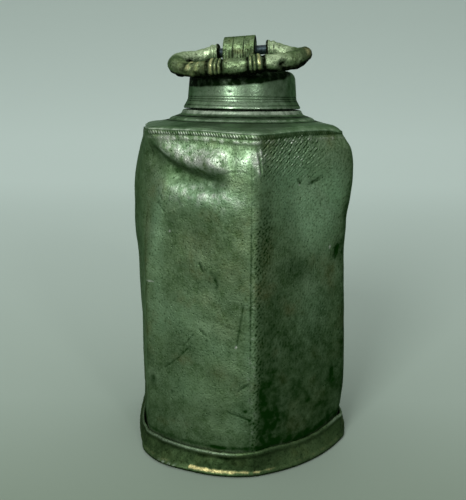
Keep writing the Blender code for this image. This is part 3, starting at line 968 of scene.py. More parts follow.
    def rubbed_and_highlight(self, angle: Array, z: Array) -> Array:
        """Share of metal that handling has bared, with a painted highlight on the ridge, apart from the
        polished patches and highlights.

        Args:
            angle: Angles in radians.
            z: Heights.

        Returns:
            A share for each point.
        """
        uneven = np.clip(0.55 + 0.9 * ripple(15, 2.4, angle * self.form.top_radius, z), 0.0, 1.4)
        by_corner = bell(self.along_wall(angle, self.sharp_corner) + 1.8, 2.4)
        total = self.corner_shine * by_corner * step_down(z, 90.0, 125.0) * uneven
        total = total + self.rail_shine * bell(z - self.rail_z, 1.0)
        total = total + self.stroke_shine * np.maximum(0.0, self.hatch(angle, z))
        _, ridge, _ = self.creases
        total = total + self.ridge_highlight * np.maximum(0.0, ridge.relief(angle, z))
        return total + self.fold_shine * sum(item.relief(angle, z) for item in self.wrinkles)

    def dirt_and_shade(self, angle: Array, z: Array) -> Array:
        """Share of dirt and painted shade, apart from the smudges.

        Args:
            angle: Angles in radians.
            z: Heights.

        Returns:
            A share for each point.
        """
        degrees = degrees_apart(angle, 0.0)
        across = angle * self.form.top_radius
        on_right = step_up(degrees, 29.0, 34.0) * step_down(degrees, 100.0, 120.0)
        on_left = step_up(-degrees, 30.0, 46.0) * step_down(-degrees, 100.0, 120.0)
        # Painted shade under the rim and in the long crease; dirt in the tool marks and scratches, and along
        # the front seam
        total = self.rim_shade * bell(z - self.form.top_z, 0.8)
        total = total + self.mark_dirt * np.maximum(0.0, -self.hatch(angle, z))
        total = total - self.mark_dirt * sum(item.relief(angle, z) for item in self.marks)
        long_crease, _, _ = self.creases
        total = total - self.crease_shade * long_crease.relief(angle, z)
        seam = self.along_wall(angle, self.sharp_corner - math.degrees(self.seam_from_corner))
        total = total + self.seam_dirt * bell(seam, 0.45) * bell(z - 100.0, 48.0)
        # In pits of the front corner, beside it and along the left corner
        from_front = self.along_wall(angle, self.sharp_corner)
        past_left = self.along_wall(angle, self.soft_corner - 1.6)
        pits = np.clip(2.6 * ripple(16, 1.5, across, z) - 1.0, 0.0, 0.9)
        total = total + pits * bell(from_front - 0.6, 2.6) * step_down(z, 118.0, 142.0)
        total = total + pits * bell(from_front - 5.0, 4.5) * bell(z - 121.0, 14.0)
        total = total + self.corner_dirt * bell(from_front + 3.6, 2.6) * step_down(z, 90.0, 125.0)
        left_line = bell(past_left, 1.3) * step_up(z, 20.0, 50.0) * step_down(z, 112.0, 130.0)
        total = total + self.left_corner_dirt * left_line
        # Painted shade: the lower part darker, most of all on the right panel, and the left panel darker all
        # over
        front = self.front_low_shade * step_down(z, 12.0, 50.0)
        right = self.right_low_shade * step_down(z, 25.0, 125.0) * (1 + 0.14 * ripple(18, 13.0, across, z))
        total = total + front + (right - front) * on_right + self.left_panel_shade * on_left
        freckles = np.maximum(0.0, ripple(17, 1.6, across, z)) * step_up(z, 40.0, 70.0)
        total = total + self.right_freckles * freckles * on_right
        # Painted shade in the gap over the foot: black, most of all right of the front corner and just left
        # of it
        gap_shade = 0.4 + 0.45 * on_right + 0.5 * hump(degrees - 15.0, 14.0)
        above_foot = z - Foot.wall_gap_z - Foot.lift(angle)
        return total + gap_shade * bell(above_foot, 1.0 + 0.5 * on_right)


@dataclass
class Foot:
    """Six strips of one moulding, mitred at the corners."""

    form: BodyForm
    rounding: float = 2.0
    joint_gap: float = 0.08
    column_step: float = 0.7
    outline: Outline = (
        # Corner radius, height and flare, from the inside of the lip round to it again
        (56.0, 0.0, 0.0), (63.8, 0.0, 0.90), (64.8, 0.2, 0.96), (65.4, 0.9, 1.0), (65.5, 1.6, 1.0),
        (65.2, 2.3, 0.94), (64.75, 2.9, 0.84), (64.5, 3.8, 0.72), (64.2, 5.0, 0.56),
        (63.9, 6.4, 0.38), (63.6, 7.9, 0.20), (63.6, 8.7, 0.10), (63.95, 9.4, 0.04),
        (64.2, 10.1, 0.0), (64.1, 10.8, 0.0), (63.5, 11.35, 0.0), (62.8, 11.4, 0.0),
        (62.8, 1.7, 0.0), (56.0, 1.7, 0.0),
    )
    wall_gap_z: ClassVar[float] = 13.0
    upper_from: Span = (6.0, 10.0)
    face_from: Span = (62.9, 63.3)
    lip_from: Span = (63.6, 64.6)
    groove_z: float = 8.6
    roll_z: float = 10.6
    beaten_angle: float = -76.0
    beaten_reach: float = 44.0
    beaten_depth: float = 3.9
    spread_angle: float = -18.0
    spread_reach: float = 20.0
    spread: float = 1.9
    gold_z: float = 2.9
    gold_from: float = -1.5
    gold_to: float = 24.0
    gold_end: float = 30.0
    gold_fade: float = 44.0
    chip_angle: float = -12.0
    chip_reach: float = 7.0
    chip_z: float = 1.8

    @staticmethod
    def lift(angle: Array) -> Array:
        """How much the strips' upper edge rides up the wall, which it does beside the two front corners."""
        at_front = 2.2 * bell(degrees_apart(angle, 36), 13.0)
        return at_front + 3.6 * bell(degrees_apart(angle, 90), 13.0)

    def build(self, material: Material) -> None:
        """Model and dress the six strips.

        Args:
            material: Finish of the foot.
        """
        half_gap = self.joint_gap / 2 / self.form.top_radius
        section = smooth_line(self.outline, 0.55, 0.9)
        section = np.concatenate([section, section[:1]])
        count = int(CORNER_STEP * self.form.bottom_radius / self.column_step)
        for strip in range(1, CORNERS + 1):
            corner = FIRST_CORNER + CORNER_STEP * (strip - 2)
            columns = np.linspace(corner + half_gap, corner + CORNER_STEP - half_gap, count)
            angle = np.repeat(columns[:, None], len(section), axis=1)
            radius, z, flare = (np.repeat(part[None, :], count, axis=0) for part in section.T)
            upper = step_up(z, *self.upper_from)
            z = z + self.lift(angle) * upper
            skin = self.skin(angle, radius, z, flare, upper)
            moulding = grid_piece(f"foot_moulding_{strip}", round_body(angle, skin, z))
            paint(moulding, self.wear(angle, radius, z))
            close_tube(moulding)
            hand_over(moulding, material, Body.FLASK, Slot.FOOT, f"foot_strip_{strip}")

    def skin(self, angle: Array, radius: Array, z: Array, flare: Array, upper: Array) -> Array:
        """Distance from the axis to the knocked-about strip.

        Args:
            angle: Angle of each point.
            radius: Corner radius of the outline at each point.
            z: Height of each point.
            flare: How far each point follows the round lower edge.
            upper: Share of the upper edge at each point.

        Returns:
            A distance for each point.
        """
        across = angle * self.form.bottom_radius
        shown = step_up(radius, *self.face_from)
        nicks = 0.10 * ripple(21, 9.0, across, z) + 0.05 * ripple(22, 3.5, across, z)
        reach = self.form.hexagon(radius, self.rounding, angle) + self.form.bow(radius, angle, flare)
        reach = reach + nicks * shown * step_up(z, 0.5, 1.5)
        beaten = self.beaten_depth * hump(degrees_apart(angle, self.beaten_angle), self.beaten_reach)
        # At the front corner and the left one the upper edge lies close to the wall
        flush = 0.8 * bell(degrees_apart(angle, 28.5), 4.0) + 1.1 * hump(degrees_apart(angle, -30.0), 14.0)
        reach = reach - np.maximum(beaten, flush * shown) * upper - 0.2 * beaten * (1 - upper)
        spread = self.spread * hump(degrees_apart(angle, self.spread_angle), self.spread_reach)
        return reach + spread * flare * (1 - upper)

    def wear(self, angle: Array, radius: Array, z: Array) -> dict[str, Array]:
        """Where the strips are chipped or rubbed pale, worn to bright metal and dirty, and where shade and a
        highlight are painted on them.

        Args:
            angle: Angle of each point.
            radius: Corner radius of the outline at each point.
            z: Height of each point.

        Returns:
            Shares by the name of the attribute that keeps them.
        """
        degrees = degrees_apart(angle, 0.0)
        lip = step_up(radius, *self.lip_from)
        chips = hump(degrees_apart(angle, self.chip_angle), self.chip_reach)
        chips = chips * hump(z - self.chip_z, 1.3) * lip
        chips = chips * np.clip(1.6 * ripple(24, 2.2, angle * self.form.bottom_radius, z), 0.0, 1.0)
        main = step_up(degrees, self.gold_from, self.gold_from + 1.0)
        main = main * step_down(degrees, self.gold_to, self.gold_end)
        specks = step_up(degrees, self.gold_to - 4, self.gold_end)
        specks = specks * step_down(degrees, self.gold_fade - 10, self.gold_fade)
        paler = 0.75 + 0.6 * hump(degrees - 4.0, 14.0)
        gold = hump(z - self.gold_z, 0.9) * lip * highest(main * paler, 0.45 * specks, 0.1)
        under_roll = z - self.groove_z - self.lift(angle)
        face = step_up(z, 2.8, 4.0) * step_down(under_roll, 0.0, 1.2)
        # Painted shade: the face darker in its middle and lighter on the right, and a black line along the
        # bottom edge as the contact shadow where the strip meets the table; the groove under the roll is dark
        # too
        shade = 0.35 + 0.3 * hump(degrees - 18.0, 22.0) - 0.3 * step_up(degrees, 34.0, 50.0)
        dirt_and_shade = shade * face + 0.3 * bell(under_roll, 0.8) + 0.9 * step_down(z, 0.8, 2.2)
        # The upper roll is rubbed clean, a painted highlight as well, except beside the front corner
        clean_and_lit = 0.42 * step_down(degrees, 12.0, 24.0) + 0.5 * step_up(degrees, 76.0, 82.0) + 0.05
        roll = clean_and_lit * bell(z - self.roll_z - self.lift(angle), 0.65)
        return {"pale": np.maximum(chips, roll), "rubbed_and_highlight": gold, "dirt_and_shade": dirt_and_shade}


@dataclass
class Shoulder:
    """Plate from the hexagonal edge up to the turned collar, with a rope border round its edge."""

    form: BodyForm
    columns: int = 540
    edge: Outline = (
        # Corner radius, round radius, roundness and height, from the underside of the edge inwards
        (57.7, 49.0, 0.0, 171.9), (57.9, 49.0, 0.0, 172.2), (57.9, 49.0, 0.0, 173.0),
        (58.4, 49.0, 0.0, 173.15), (58.6, 49.0, 0.0, 173.4), (58.5, 49.0, 0.0, 173.7),
        (58.0, 49.0, 0.0, 173.95), (56.6, 49.0, 0.05, 174.75), (53.5, 49.0, 0.3, 175.4),
        (46.5, 43.0, 0.75, 176.4),
    )
    turned: Outline = (
        # Radius and height, up over the collar and back under it
        (40.4, 176.9), (39.3, 177.1), (38.9, 177.5), (38.5, 178.0), (37.9, 178.3), (36.9, 178.65),
        (35.4, 179.15), (34.1, 179.6), (33.1, 180.1), (32.6, 180.6), (32.3, 181.2), (32.05, 181.8),
        (31.7, 182.25), (31.1, 182.4), (23.6, 182.4), (23.6, 179.6), (31.2, 179.6), (36.4, 176.4),
    )
    underside: Outline = ((46.0, 43.0, 0.75, 174.2), (54.4, 49.0, 0.2, 171.9))
    rim_z: float = 173.6
    step_radius: float = 38.4
    collar_radius: float = 32.1
    collar_z: float = 180.3
    grooves: Outline = ((40.3, 0.9), (35.2, 1.2))
    rope_pitch: float = 1.45
    rope_slant: float = 0.55
    rope_depth: float = 0.42
    left_cut: float = 1.3
    droop: float = 1.5
    rope_low: float = 170.6
    rope_high: float = 173.3
    rope_radius: float = 58.5
    rope_back: float = 57.75
    rope_columns: int = 1680

    def build(self, material: Material, rope_material: Material) -> None:
        """Model and dress the plate and its border.

        Args:
            material: Finish of the turned plate.
            rope_material: Finish of the border.
        """
        collar = ((radius, radius, 1.0, z) for radius, z in self.turned)
        section = smooth_line([*self.edge, *collar, *self.underside], 0.55, 0.7)
        section = np.concatenate([section, section[:1]])
        columns = np.linspace(0.0, math.tau, self.columns + 1)
        angle = np.repeat(columns[:, None], len(section), axis=1)
        corner, turned, roundness, z = (np.repeat(part[None, :], len(columns), axis=0) for part in section.T)
        straight = self.form.hexagon(corner, self.form.corner_rounding, angle)
        radius = straight - self.trim(angle) * (1 - roundness) + (turned - straight) * roundness
        wave = 0.10 * ripple(31, 16.0, radius * np.sin(angle), radius * np.cos(angle))
        z = z + wave * step_up(z, 173.9, 175.0) * step_up(radius, 40.5, 43.0)
        z = z - self.form.rim_dip(angle) * (1 - roundness) ** 2
        z = z - self.beaten_down(angle) * step_up(radius, 51.0, 58.0)
        z = z - 0.5 * hump(degrees_apart(angle, -55), 60.0) * hump(radius - 47.0, 8.0)
        points = self.form.lean(round_body(angle + self.form.twist, radius, z), 1 - roundness)
        points[-1] = points[0]
        plate = grid_piece("turned_shoulder", points)
        paint(plate, self.wear(angle, radius, z))
        close_tube(plate)
        hand_over(plate, material, Body.FLASK, Slot.CAP, "shoulder")
        self.build_rope(rope_material)

    def wear(self, angle: Array, radius: Array, z: Array) -> dict[str, Array]:
        """Where the plate is rubbed bright, pale and dirty, and where highlights are painted on its rim and
        collar.

        Args:
            angle: Angle of each point.
            radius: Distance of each point from the axis.
            z: Height of each point.

        Returns:
            Shares by the name of the attribute that keeps them.
        """
        on_left = step_down(degrees_apart(angle, 0), 24.0, 36.0)
        rim = bell(z + self.form.rim_dip(angle) - self.rim_z, 0.35) * step_up(radius, 48.0, 50.0)
        on_collar = z > self.collar_z
        to_collar = radius - self.collar_radius
        # The rim is rubbed brighter on the left and front, partly a painted highlight; the collar's roll gets
        # a painted highlight, rubbed bright and pale
        rubbed_and_highlight = rim * (0.2 + 0.5 * on_left) + 0.3 * bell(radius - self.step_radius, 0.5)
        in_grooves = sum(bell(radius - groove, width) for groove, width in self.grooves)
        return {
            "rubbed_and_highlight": rubbed_and_highlight + 0.5 * bell(to_collar, 0.7) * on_collar,
            "pale": 0.7 * bell(to_collar, 0.9) * on_collar,
            "dirt_and_shade": 0.8 * in_grooves + 0.12,
        }

    def trim(self, angle: Array) -> Array:
        """How much the edge is rubbed away round its left side."""
        return self.form.trim(angle) + self.left_cut * hump(degrees_apart(angle, -82), 45.0)

    def beaten_down(self, angle: Array) -> Array:
        """How far the edge is beaten down at the two corners seen at its sides."""
        left, right = hump(degrees_apart(angle, -84), 34.0), hump(degrees_apart(angle, 90), 24.0)
        return self.droop * np.maximum(0.7 * left, right)

    def build_rope(self, material: Material) -> None:
        """Model and dress the rope border, a band of slanting teeth.

        Args:
            material: Finish of the border.
        """
        front = np.linspace(self.rope_low, self.rope_high, 9)
        heights = np.concatenate([front, [self.rope_high, self.rope_low, self.rope_low]])
        on_back = np.concatenate([np.zeros(9), [1.0, 1.0, 0.0]])
        columns = np.linspace(0.0, math.tau, self.rope_columns + 1)
        angle = np.repeat(columns[:, None], len(heights), axis=1)
        z = np.repeat(heights[None, :], len(columns), axis=0)
        back = np.repeat(on_back[None, :], len(columns), axis=0)
        edge = self.form.hexagon(np.full(angle.shape, self.rope_radius), self.form.corner_rounding, angle)
        edge = edge - self.trim(angle)
        teeth = round(CORNERS * self.rope_radius / self.rope_pitch)
        phase = teeth * angle / math.tau + self.rope_slant * (z - self.rope_low) / self.rope_pitch
        tooth = np.abs(np.sin(math.pi * phase)) ** 0.7
        middle = (self.rope_low + self.rope_high) / 2
        belly = hump(z - middle, 0.62 * (self.rope_high - self.rope_low))
        worn = 0.6 + 0.4 * np.cos(3 * angle + 0.4) * hump(degrees_apart(angle, 0), 175)
        worn = worn * (0.8 + 0.2 * ripple(33, 14.0, angle * self.rope_radius, z))
        raised = self.rope_depth * belly * (tooth * worn + (1 - worn) * 0.6)
        depth = (self.rope_radius - self.rope_back) * back
        z = z - self.form.rim_dip(angle) - 0.5 * self.beaten_down(angle)
        points = self.form.lean(round_body(angle + self.form.twist, edge + raised - 0.25 - depth, z), 1.0)
        points[-1] = points[0]
        rope = grid_piece("rope_border", points)
        on_left = step_down(degrees_apart(angle, 0), 28.0, 36.0)
        # Dark between the teeth, with painted shade on the right side; the teeth on the left and front are
        # rubbed bright, partly a painted highlight
        dirt_and_shade = 1.6 * (1 - tooth) * worn + 0.5 * (1 - on_left)
        paint(rope, {"rubbed_and_highlight": 0.34 * tooth * belly * on_left, "dirt_and_shade": dirt_and_shade})
        close_tube(rope)
        hand_over(rope, material, Body.FLASK, Slot.WALL)


@dataclass(frozen=True)
class Thread:
    """A coarse right-hand thread that stands out of a turned wall."""

    root: float
    crest: float
    start: float
    turns: float
    pitch: float = 5.0
    root_half_width: float = 1.3
    crest_half_width: float = 0.5
    run_out: float = 0.16

    def radius(self, turn: Array, z: Array) -> Array:
        """Distance from the axis to the threaded wall.

        Args:
            turn: Share of a turn from +X towards +Y.
            z: Heights.

        Returns:
            A distance for each point.
        """
        climbed = (z - self.start) / self.pitch - turn
        whole = np.round(climbed)
        off = np.abs(climbed - whole) * self.pitch
        travelled = turn + whole
        grown = np.clip(np.minimum(travelled, self.turns - travelled) / self.run_out, 0.0, 1.0)
        flank = (self.root_half_width - off) / (self.root_half_width - self.crest_half_width)
        return self.root + (self.crest - self.root) * np.clip(flank, 0.0, 1.0) * grown


def thread_wall(piece: Object, thread: Thread, low: float, high: float) -> None:
    """Press a thread into the plain stretch of a turned wall.

    Args:
        piece: The turned piece.
        thread: The thread, whose root is the wall's radius.
        low: Height at which the plain stretch starts.
        high: Height at which it ends.
    """
    points = places(piece)
    radius = np.hypot(points[:, 0], points[:, 1])
    turn = np.arctan2(points[:, 1], points[:, 0]) / math.tau % 1.0
    on_wall = (np.abs(radius - thread.root) < 0.02) & (points[:, 2] > low) & (points[:, 2] < high)
    scale = np.where(on_wall, thread.radius(turn, points[:, 2]) / np.maximum(radius, 1e-6), 1.0)
    points[:, :2] *= scale[:, None]
    place(piece, points)


def wall_rows(radius: float, low: float, high: float, step: float) -> list[Span]:
    """Points of a straight wall of a turned outline, from the first height to the second."""
    count = int(abs(high - low) / step) + 1
    return [(radius, z) for z in np.linspace(low, high, count)]


@dataclass
class NeckAndSeal:
    """Threaded neck with its leather washer."""

    segments: int = 160
    bore: float = 20.5
    thread: Thread = Thread(root=23.0, crest=24.6, start=185.8, turns=1.75)
    flange: Outline = (
        (20.7, 176.8), (21.0, 176.6), (27.6, 176.6), (28.0, 177.0), (28.0, 178.8), (27.6, 179.2),
        (23.5, 179.2), (23.0, 179.7),
    )
    threaded_z: Span = (180.3, 196.0)
    lip: Outline = (
        (22.95, 196.45), (22.75, 196.75), (22.4, 196.97), (21.8, 197.0), (21.1, 196.97),
        (20.75, 196.75),
    )
    bore_z: Span = (196.3, 177.2)
    washer: Outline = (
        (0.0, 197.3), (23.7, 197.3), (24.3, 197.8), (24.3, 198.7), (23.7, 199.2), (0.0, 199.2),
    )

    def build(self, material: Material, leather: Material) -> None:
        """Model and dress the neck and the washer.

        Args:
            material: Finish of the neck.
            leather: Finish of the washer.
        """
        root = self.thread.root
        threaded = wall_rows(root, *self.threaded_z, 0.35)
        outline = [*self.flange, *threaded, *self.lip, *wall_rows(self.bore, *self.bore_z, 2.0)]
        neck = turned_piece("threaded_neck", np.array(outline), self.segments)
        low, high = self.threaded_z
        thread_wall(neck, self.thread, low - 0.4, high + 0.2)
        points = places(neck)
        radius = np.hypot(points[:, 0], points[:, 1])
        crests = step_up(radius, root + 0.8, self.thread.crest) * (points[:, 2] < 196.5)
        paint(neck, {"rubbed_and_highlight": crests, "dirt_and_shade": 0.7 * bell(radius - root, 0.25)})
        hand_over(neck, material, Body.FLASK, Slot.CAP, "neck")

        washer = turned_piece("leather_washer", smooth_line(self.washer, 0.7, 0.5), self.segments)
        hand_over(washer, leather, Body.WASHER, Slot.SEAL, "seal")


@dataclass
class ScrewCap:
    """Turned cap with a flared lip, and the three-reeded knuckle soldered on it."""

    segments: int = 200
    thread: Thread = Thread(root=25.1, crest=23.5, start=188.3, turns=1.25)
    wall: Outline = (
        (31.0, 183.0), (31.35, 183.2), (31.4, 183.7), (31.1, 184.35), (30.5, 185.3), (29.85, 186.4),
        (29.4, 187.5), (29.15, 188.6), (28.95, 190.5), (28.3, 197.5),
    )
    edge_centre: Span = (23.5, 197.5)
    edge_radius: float = 4.8
    top_z: float = 203.0
    grooves: Outline = (
        # Height, depth and half width of the turned lines
        (189.0, 0.16, 0.28), (187.9, 0.22, 0.30), (186.9, 0.14, 0.25), (184.9, 0.08, 0.25),
    )
    ceiling: Outline = ((0.0, 199.5), (12.0, 199.5), (24.6, 199.5), (25.1, 199.0))
    threaded_z: Span = (198.4, 185.2)
    mouth: Outline = ((25.1, 184.6), (26.2, 183.15), (26.5, 183.0))
    wall_radius: float = 28.9
    pattern_radius: float = 28.8
    outer_from: Span = (27.0, 28.0)
    pit_angle: float = 9.6
    pit_z: float = 191.4
    pit_size: float = 0.55
    pit_depth: float = 0.35
    lip_z: float = 183.0
    front: float = 14.0
    # Lower edge of the painted shadow of the ring on the cap, partly grime that keeps under it, and how it
    # climbs to the left and right
    shadow_grime_z: float = 193.8
    shadow_grime_middle: float = -16.0
    shadow_grime_climb_right: float = 0.0006
    shadow_grime_climb_left: float = 0.0016
    shadow_grime_level: float = 18.0
    azimuth: float = math.radians(14.0)
    hinge_z: float = 212.3
    hinge_lean: float = math.radians(4.4)
    knuckle_offset: float = -1.5
    knuckle_radius: float = 7.8
    knuckle_base: float = 203.25
    knuckle_rise: float = 0.07
    knuckle_flare: float = 0.9
    reeds: int = 3
    reed_width: float = 5.5
    reed_groove: float = 0.3
    side_inset: float = 0.8
    pin_hole: float = 2.55

    def build(self, material: Material, cast: Material) -> None:
        """Model and dress the cap and its knuckle.

        Args:
            material: Finish of the turned cap.
            cast: Finish of the cast knuckle.
        """
        self.build_cap(material)
        self.build_knuckle(cast)

    def build_cap(self, material: Material) -> None:
        """Model and dress the cap.

        Args:
            material: Finish of the turned cap.
        """
        root = self.thread.root
        wall = smooth_line(self.wall, 0.22, 0.5)
        for z, depth, width in self.grooves:
            wall[:, 0] -= depth * bell(wall[:, 1] - z, width)
        turn = np.linspace(0.0, math.pi / 2, 14)[1:]
        centre, height = self.edge_centre
        edge_x = centre + self.edge_radius * np.cos(turn)
        edge = np.stack([edge_x, height + self.edge_radius * np.sin(turn)], axis=1)
        top = smooth_line([edge[-1], (13.0, self.top_z), (0.0, self.top_z)], 1.2, 2.0)[1:]
        inside = np.array([*self.ceiling, *wall_rows(root, *self.threaded_z, 0.35), *self.mouth])
        cap = turned_piece("turned_cap", np.concatenate([wall, edge, top, inside]), self.segments)
        thread_wall(cap, self.thread, 184.9, 199.0)
        points = places(cap)
        radius = np.hypot(points[:, 0], points[:, 1])
        angle = np.arctan2(points[:, 0], -points[:, 1])
        dents = 0.05 * ripple(41, 14.0, angle * self.pattern_radius, points[:, 2])
        dents = dents * step_up(points[:, 2], 184.5, 187.0)
        dents = dents - self.pit_depth * bell(self.from_pit(angle, points[:, 2]), self.pit_size)
        points[:, :2] *= (1 + dents * step_up(radius, *self.outer_from) / np.maximum(radius, 1.0))[:, None]
        place(cap, points)
        paint(cap, self.wear(angle, radius, points[:, 2]))
        hand_over(cap, material, Body.SCREW_CAP, Slot.CAP, "cap")

    def from_pit(self, angle: Array, z: Array) -> Array:
        """Distance of each point of the wall from the pit."""
        across = degrees_apart(angle, self.pit_angle) * math.radians(self.wall_radius)
        return np.hypot(across, z - self.pit_z)

    def wear(self, angle: Array, radius: Array, z: Array) -> dict[str, Array]:
        """Where the cap is rubbed bright, pale and dirty, and where the ring's shadow, shade and a highlight
        are painted on it.

        Args:
            angle: Angle of each point.
            radius: Distance of each point from the axis, before its dents.
            z: Height of each point.

        Returns:
            Shares by the name of the attribute that keeps them.
        """
        outside = step_up(radius, *self.outer_from)
        off_front = np.abs(degrees_apart(angle, self.front))
        # Dirt in the turned lines, and painted shade on the sides away from the front
        lines_and_side_shade = sum(bell(z - groove, width) for groove, _, width in self.grooves)
        lines_and_side_shade = lines_and_side_shade + 0.7 * step_up(off_front, 24.0, 58.0)
        # Painted shadow of the ring, partly grime, on the front of the cap and its top edge
        to_right = degrees_apart(angle, self.shadow_grime_middle)
        edge_z = self.shadow_grime_z + self.shadow_grime_climb_right * np.maximum(0.0, to_right) ** 2
        edge_z = edge_z + self.shadow_grime_climb_left * np.maximum(0.0, -self.shadow_grime_level - to_right) ** 2
        edge_z = edge_z + 0.2 * ripple(43, 9.0, angle * self.pattern_radius, z)
        ring_shadow_grime = step_up(z - edge_z, -0.6, 1.0) * step_down(off_front, 60.0, 100.0)
        on_edge = np.maximum(outside, step_up(radius, 19.0, 25.0) * (z > 199.8))
        dirt_and_shade = 0.5 * lines_and_side_shade * outside + 1.15 * ring_shadow_grime * on_edge
        in_pit = bell(self.from_pit(angle, z), 0.6)
        return {
            "rubbed_and_highlight": 0.3 * bell(z - self.lip_z - 0.6, 0.5) * outside,
            # Painted highlight down the front of the cap
            "pale": 0.3 * hump(off_front, 46.0) * outside,
            "dirt_and_shade": dirt_and_shade + in_pit + bell(z - self.lip_z, 0.3),
        }

    def hinge_frame(self) -> Matrix:
        """Frame on the hinge: X along the leaning pin and Z near upright.

        Returns:
            The frame, in millimetres.
        """
        across = Vector((math.cos(self.azimuth), math.sin(self.azimuth), 0.0))
        middle = across * self.knuckle_offset + Vector((0.0, 0.0, self.hinge_z))
        spin = Matrix.Rotation(self.azimuth, 4, "Z")
        return Matrix.Translation(middle) @ spin @ Matrix.Rotation(-self.hinge_lean, 4, "Y")

    def build_knuckle(self, material: Material) -> None:
        """Model and dress the knuckle: a reeded strap bent over the pin.

        Args:
            material: Finish of the cast knuckle.
        """
        width = self.reed_width * self.reeds
        across = np.linspace(-width / 2, width / 2, 97)
        in_reed = ((across + width / 2) / self.reed_width) % 1.0
        inset = self.reed_groove * np.abs(2 * in_reed - 1) ** 20
        inset[[0, -1]] = self.side_inset
        waist = self.knuckle_base + 2.6
        straight = np.linspace(waist, self.hinge_z, 9)[:-1]
        turn = np.linspace(math.pi, 0.0, 33)
        depth = np.concatenate([[1.0, 0.55, 0.2], np.zeros(8), np.zeros(33), np.zeros(8), [0.2, 0.55, 1.0]])
        side = np.concatenate([-np.ones(11), np.cos(turn), np.ones(11)])
        foot_z = np.array([self.knuckle_base, self.knuckle_base + 0.9, self.knuckle_base + 1.8])
        arch = self.hinge_z + self.knuckle_radius * np.sin(turn)
        heights = np.concatenate([foot_z, straight, arch, straight[::-1], foot_z[::-1]])
        half = self.knuckle_radius - inset[:, None] * np.ones(len(side))[None, :]
        x = np.repeat(across[:, None], len(side), axis=1)
        y = side[None, :] * (half + self.knuckle_flare * depth[None, :])
        lowered = inset[:, None] * np.clip((heights[None, :] - self.hinge_z) / self.knuckle_radius, 0.0, 1.0)
        z = np.repeat(heights[None, :], len(across), axis=0) - lowered
        z = z + self.knuckle_rise * x * step_up(z, self.hinge_z, self.hinge_z + self.knuckle_radius)
        lumps = 0.10 * ripple(51, 6.0, x + 3 * y, z)
        y = y + lumps * np.sign(y) * step_up(z, 204.0, 206.0)
        points = np.stack([x, y, z], axis=-1)
        points = np.concatenate([points, points[:, :1]], axis=1)
        strap = grid_piece("reeded_knuckle", points)
        groove = inset[:, None] * np.ones((1, len(side) + 1)) / self.reed_groove
        # Dirt in the reeds' grooves, and painted shade on the lower part, in streaks
        lower_shade = step_down(points[..., 2], self.hinge_z - 2.0, self.hinge_z + 3.0)
        streaks = ripple(52, 1.2, x[:, :1] * np.ones_like(groove), 0.1 * points[..., 2])
        streaks = np.clip(0.5 + streaks, 0.0, 1.0)
        paint(strap, {"dirt_and_shade": 0.55 * groove + lower_shade * (0.15 + 0.45 * streaks)})
        close_tube(strap)
        spin = Matrix.Rotation(self.azimuth, 4, "Z")
        offset = Vector((math.cos(self.azimuth), math.sin(self.azimuth), 0.0)) * self.knuckle_offset * MM
        strap.data.transform(Matrix.Translation(offset) @ spin)
        drill = self.rod("pin_drill", self.pin_hole, -width, width, 32)
        cut_away(strap, drill)
        hand_over(strap, material, Body.SCREW_CAP, Slot.RING, "knuckle")

    def rod(self, name: str, radius: float, start: float, end: float, sides: int) -> Object:
        """Model a round rod along the hinge, with softened ends.

        Args:
            name: Name of the piece.
            radius: Radius of the rod.
            start: Where it starts along the hinge.
            end: Where it ends.
            sides: Sides of its section.

        Returns:
            The rod, in place.
        """
        along = np.array([start, start + 0.4, *np.linspace(start + 2, end - 2, 12), end - 0.4, end])
        grown = np.concatenate([[0.82], np.ones(14), [0.82]]) * radius
        turn = np.linspace(0.0, math.tau, sides + 1)
        x = np.repeat(along[:, None], sides + 1, axis=1)
        points = np.stack([x, grown[:, None] * np.cos(turn), grown[:, None] * np.sin(turn)], axis=-1)
        points[:, -1] = points[:, 0]
        rod = grid_piece(name, points)
        close_tube(rod)
        to_metres = self.hinge_frame()
        to_metres.translation *= MM
        rod.data.transform(to_metres)
        return rod


@dataclass(frozen=True)
class Stretch:
    """A stretch of the ring's bar: its middle, counted to the right from the front, its reach and height."""

    middle: float
    reach: float
    height: float = 1.0

    def along(self, bar: Array) -> Array:
        """Height of the stretch at places along the bar, as a column."""
        return self.height * hump(bar - self.middle, self.reach)[:, None]


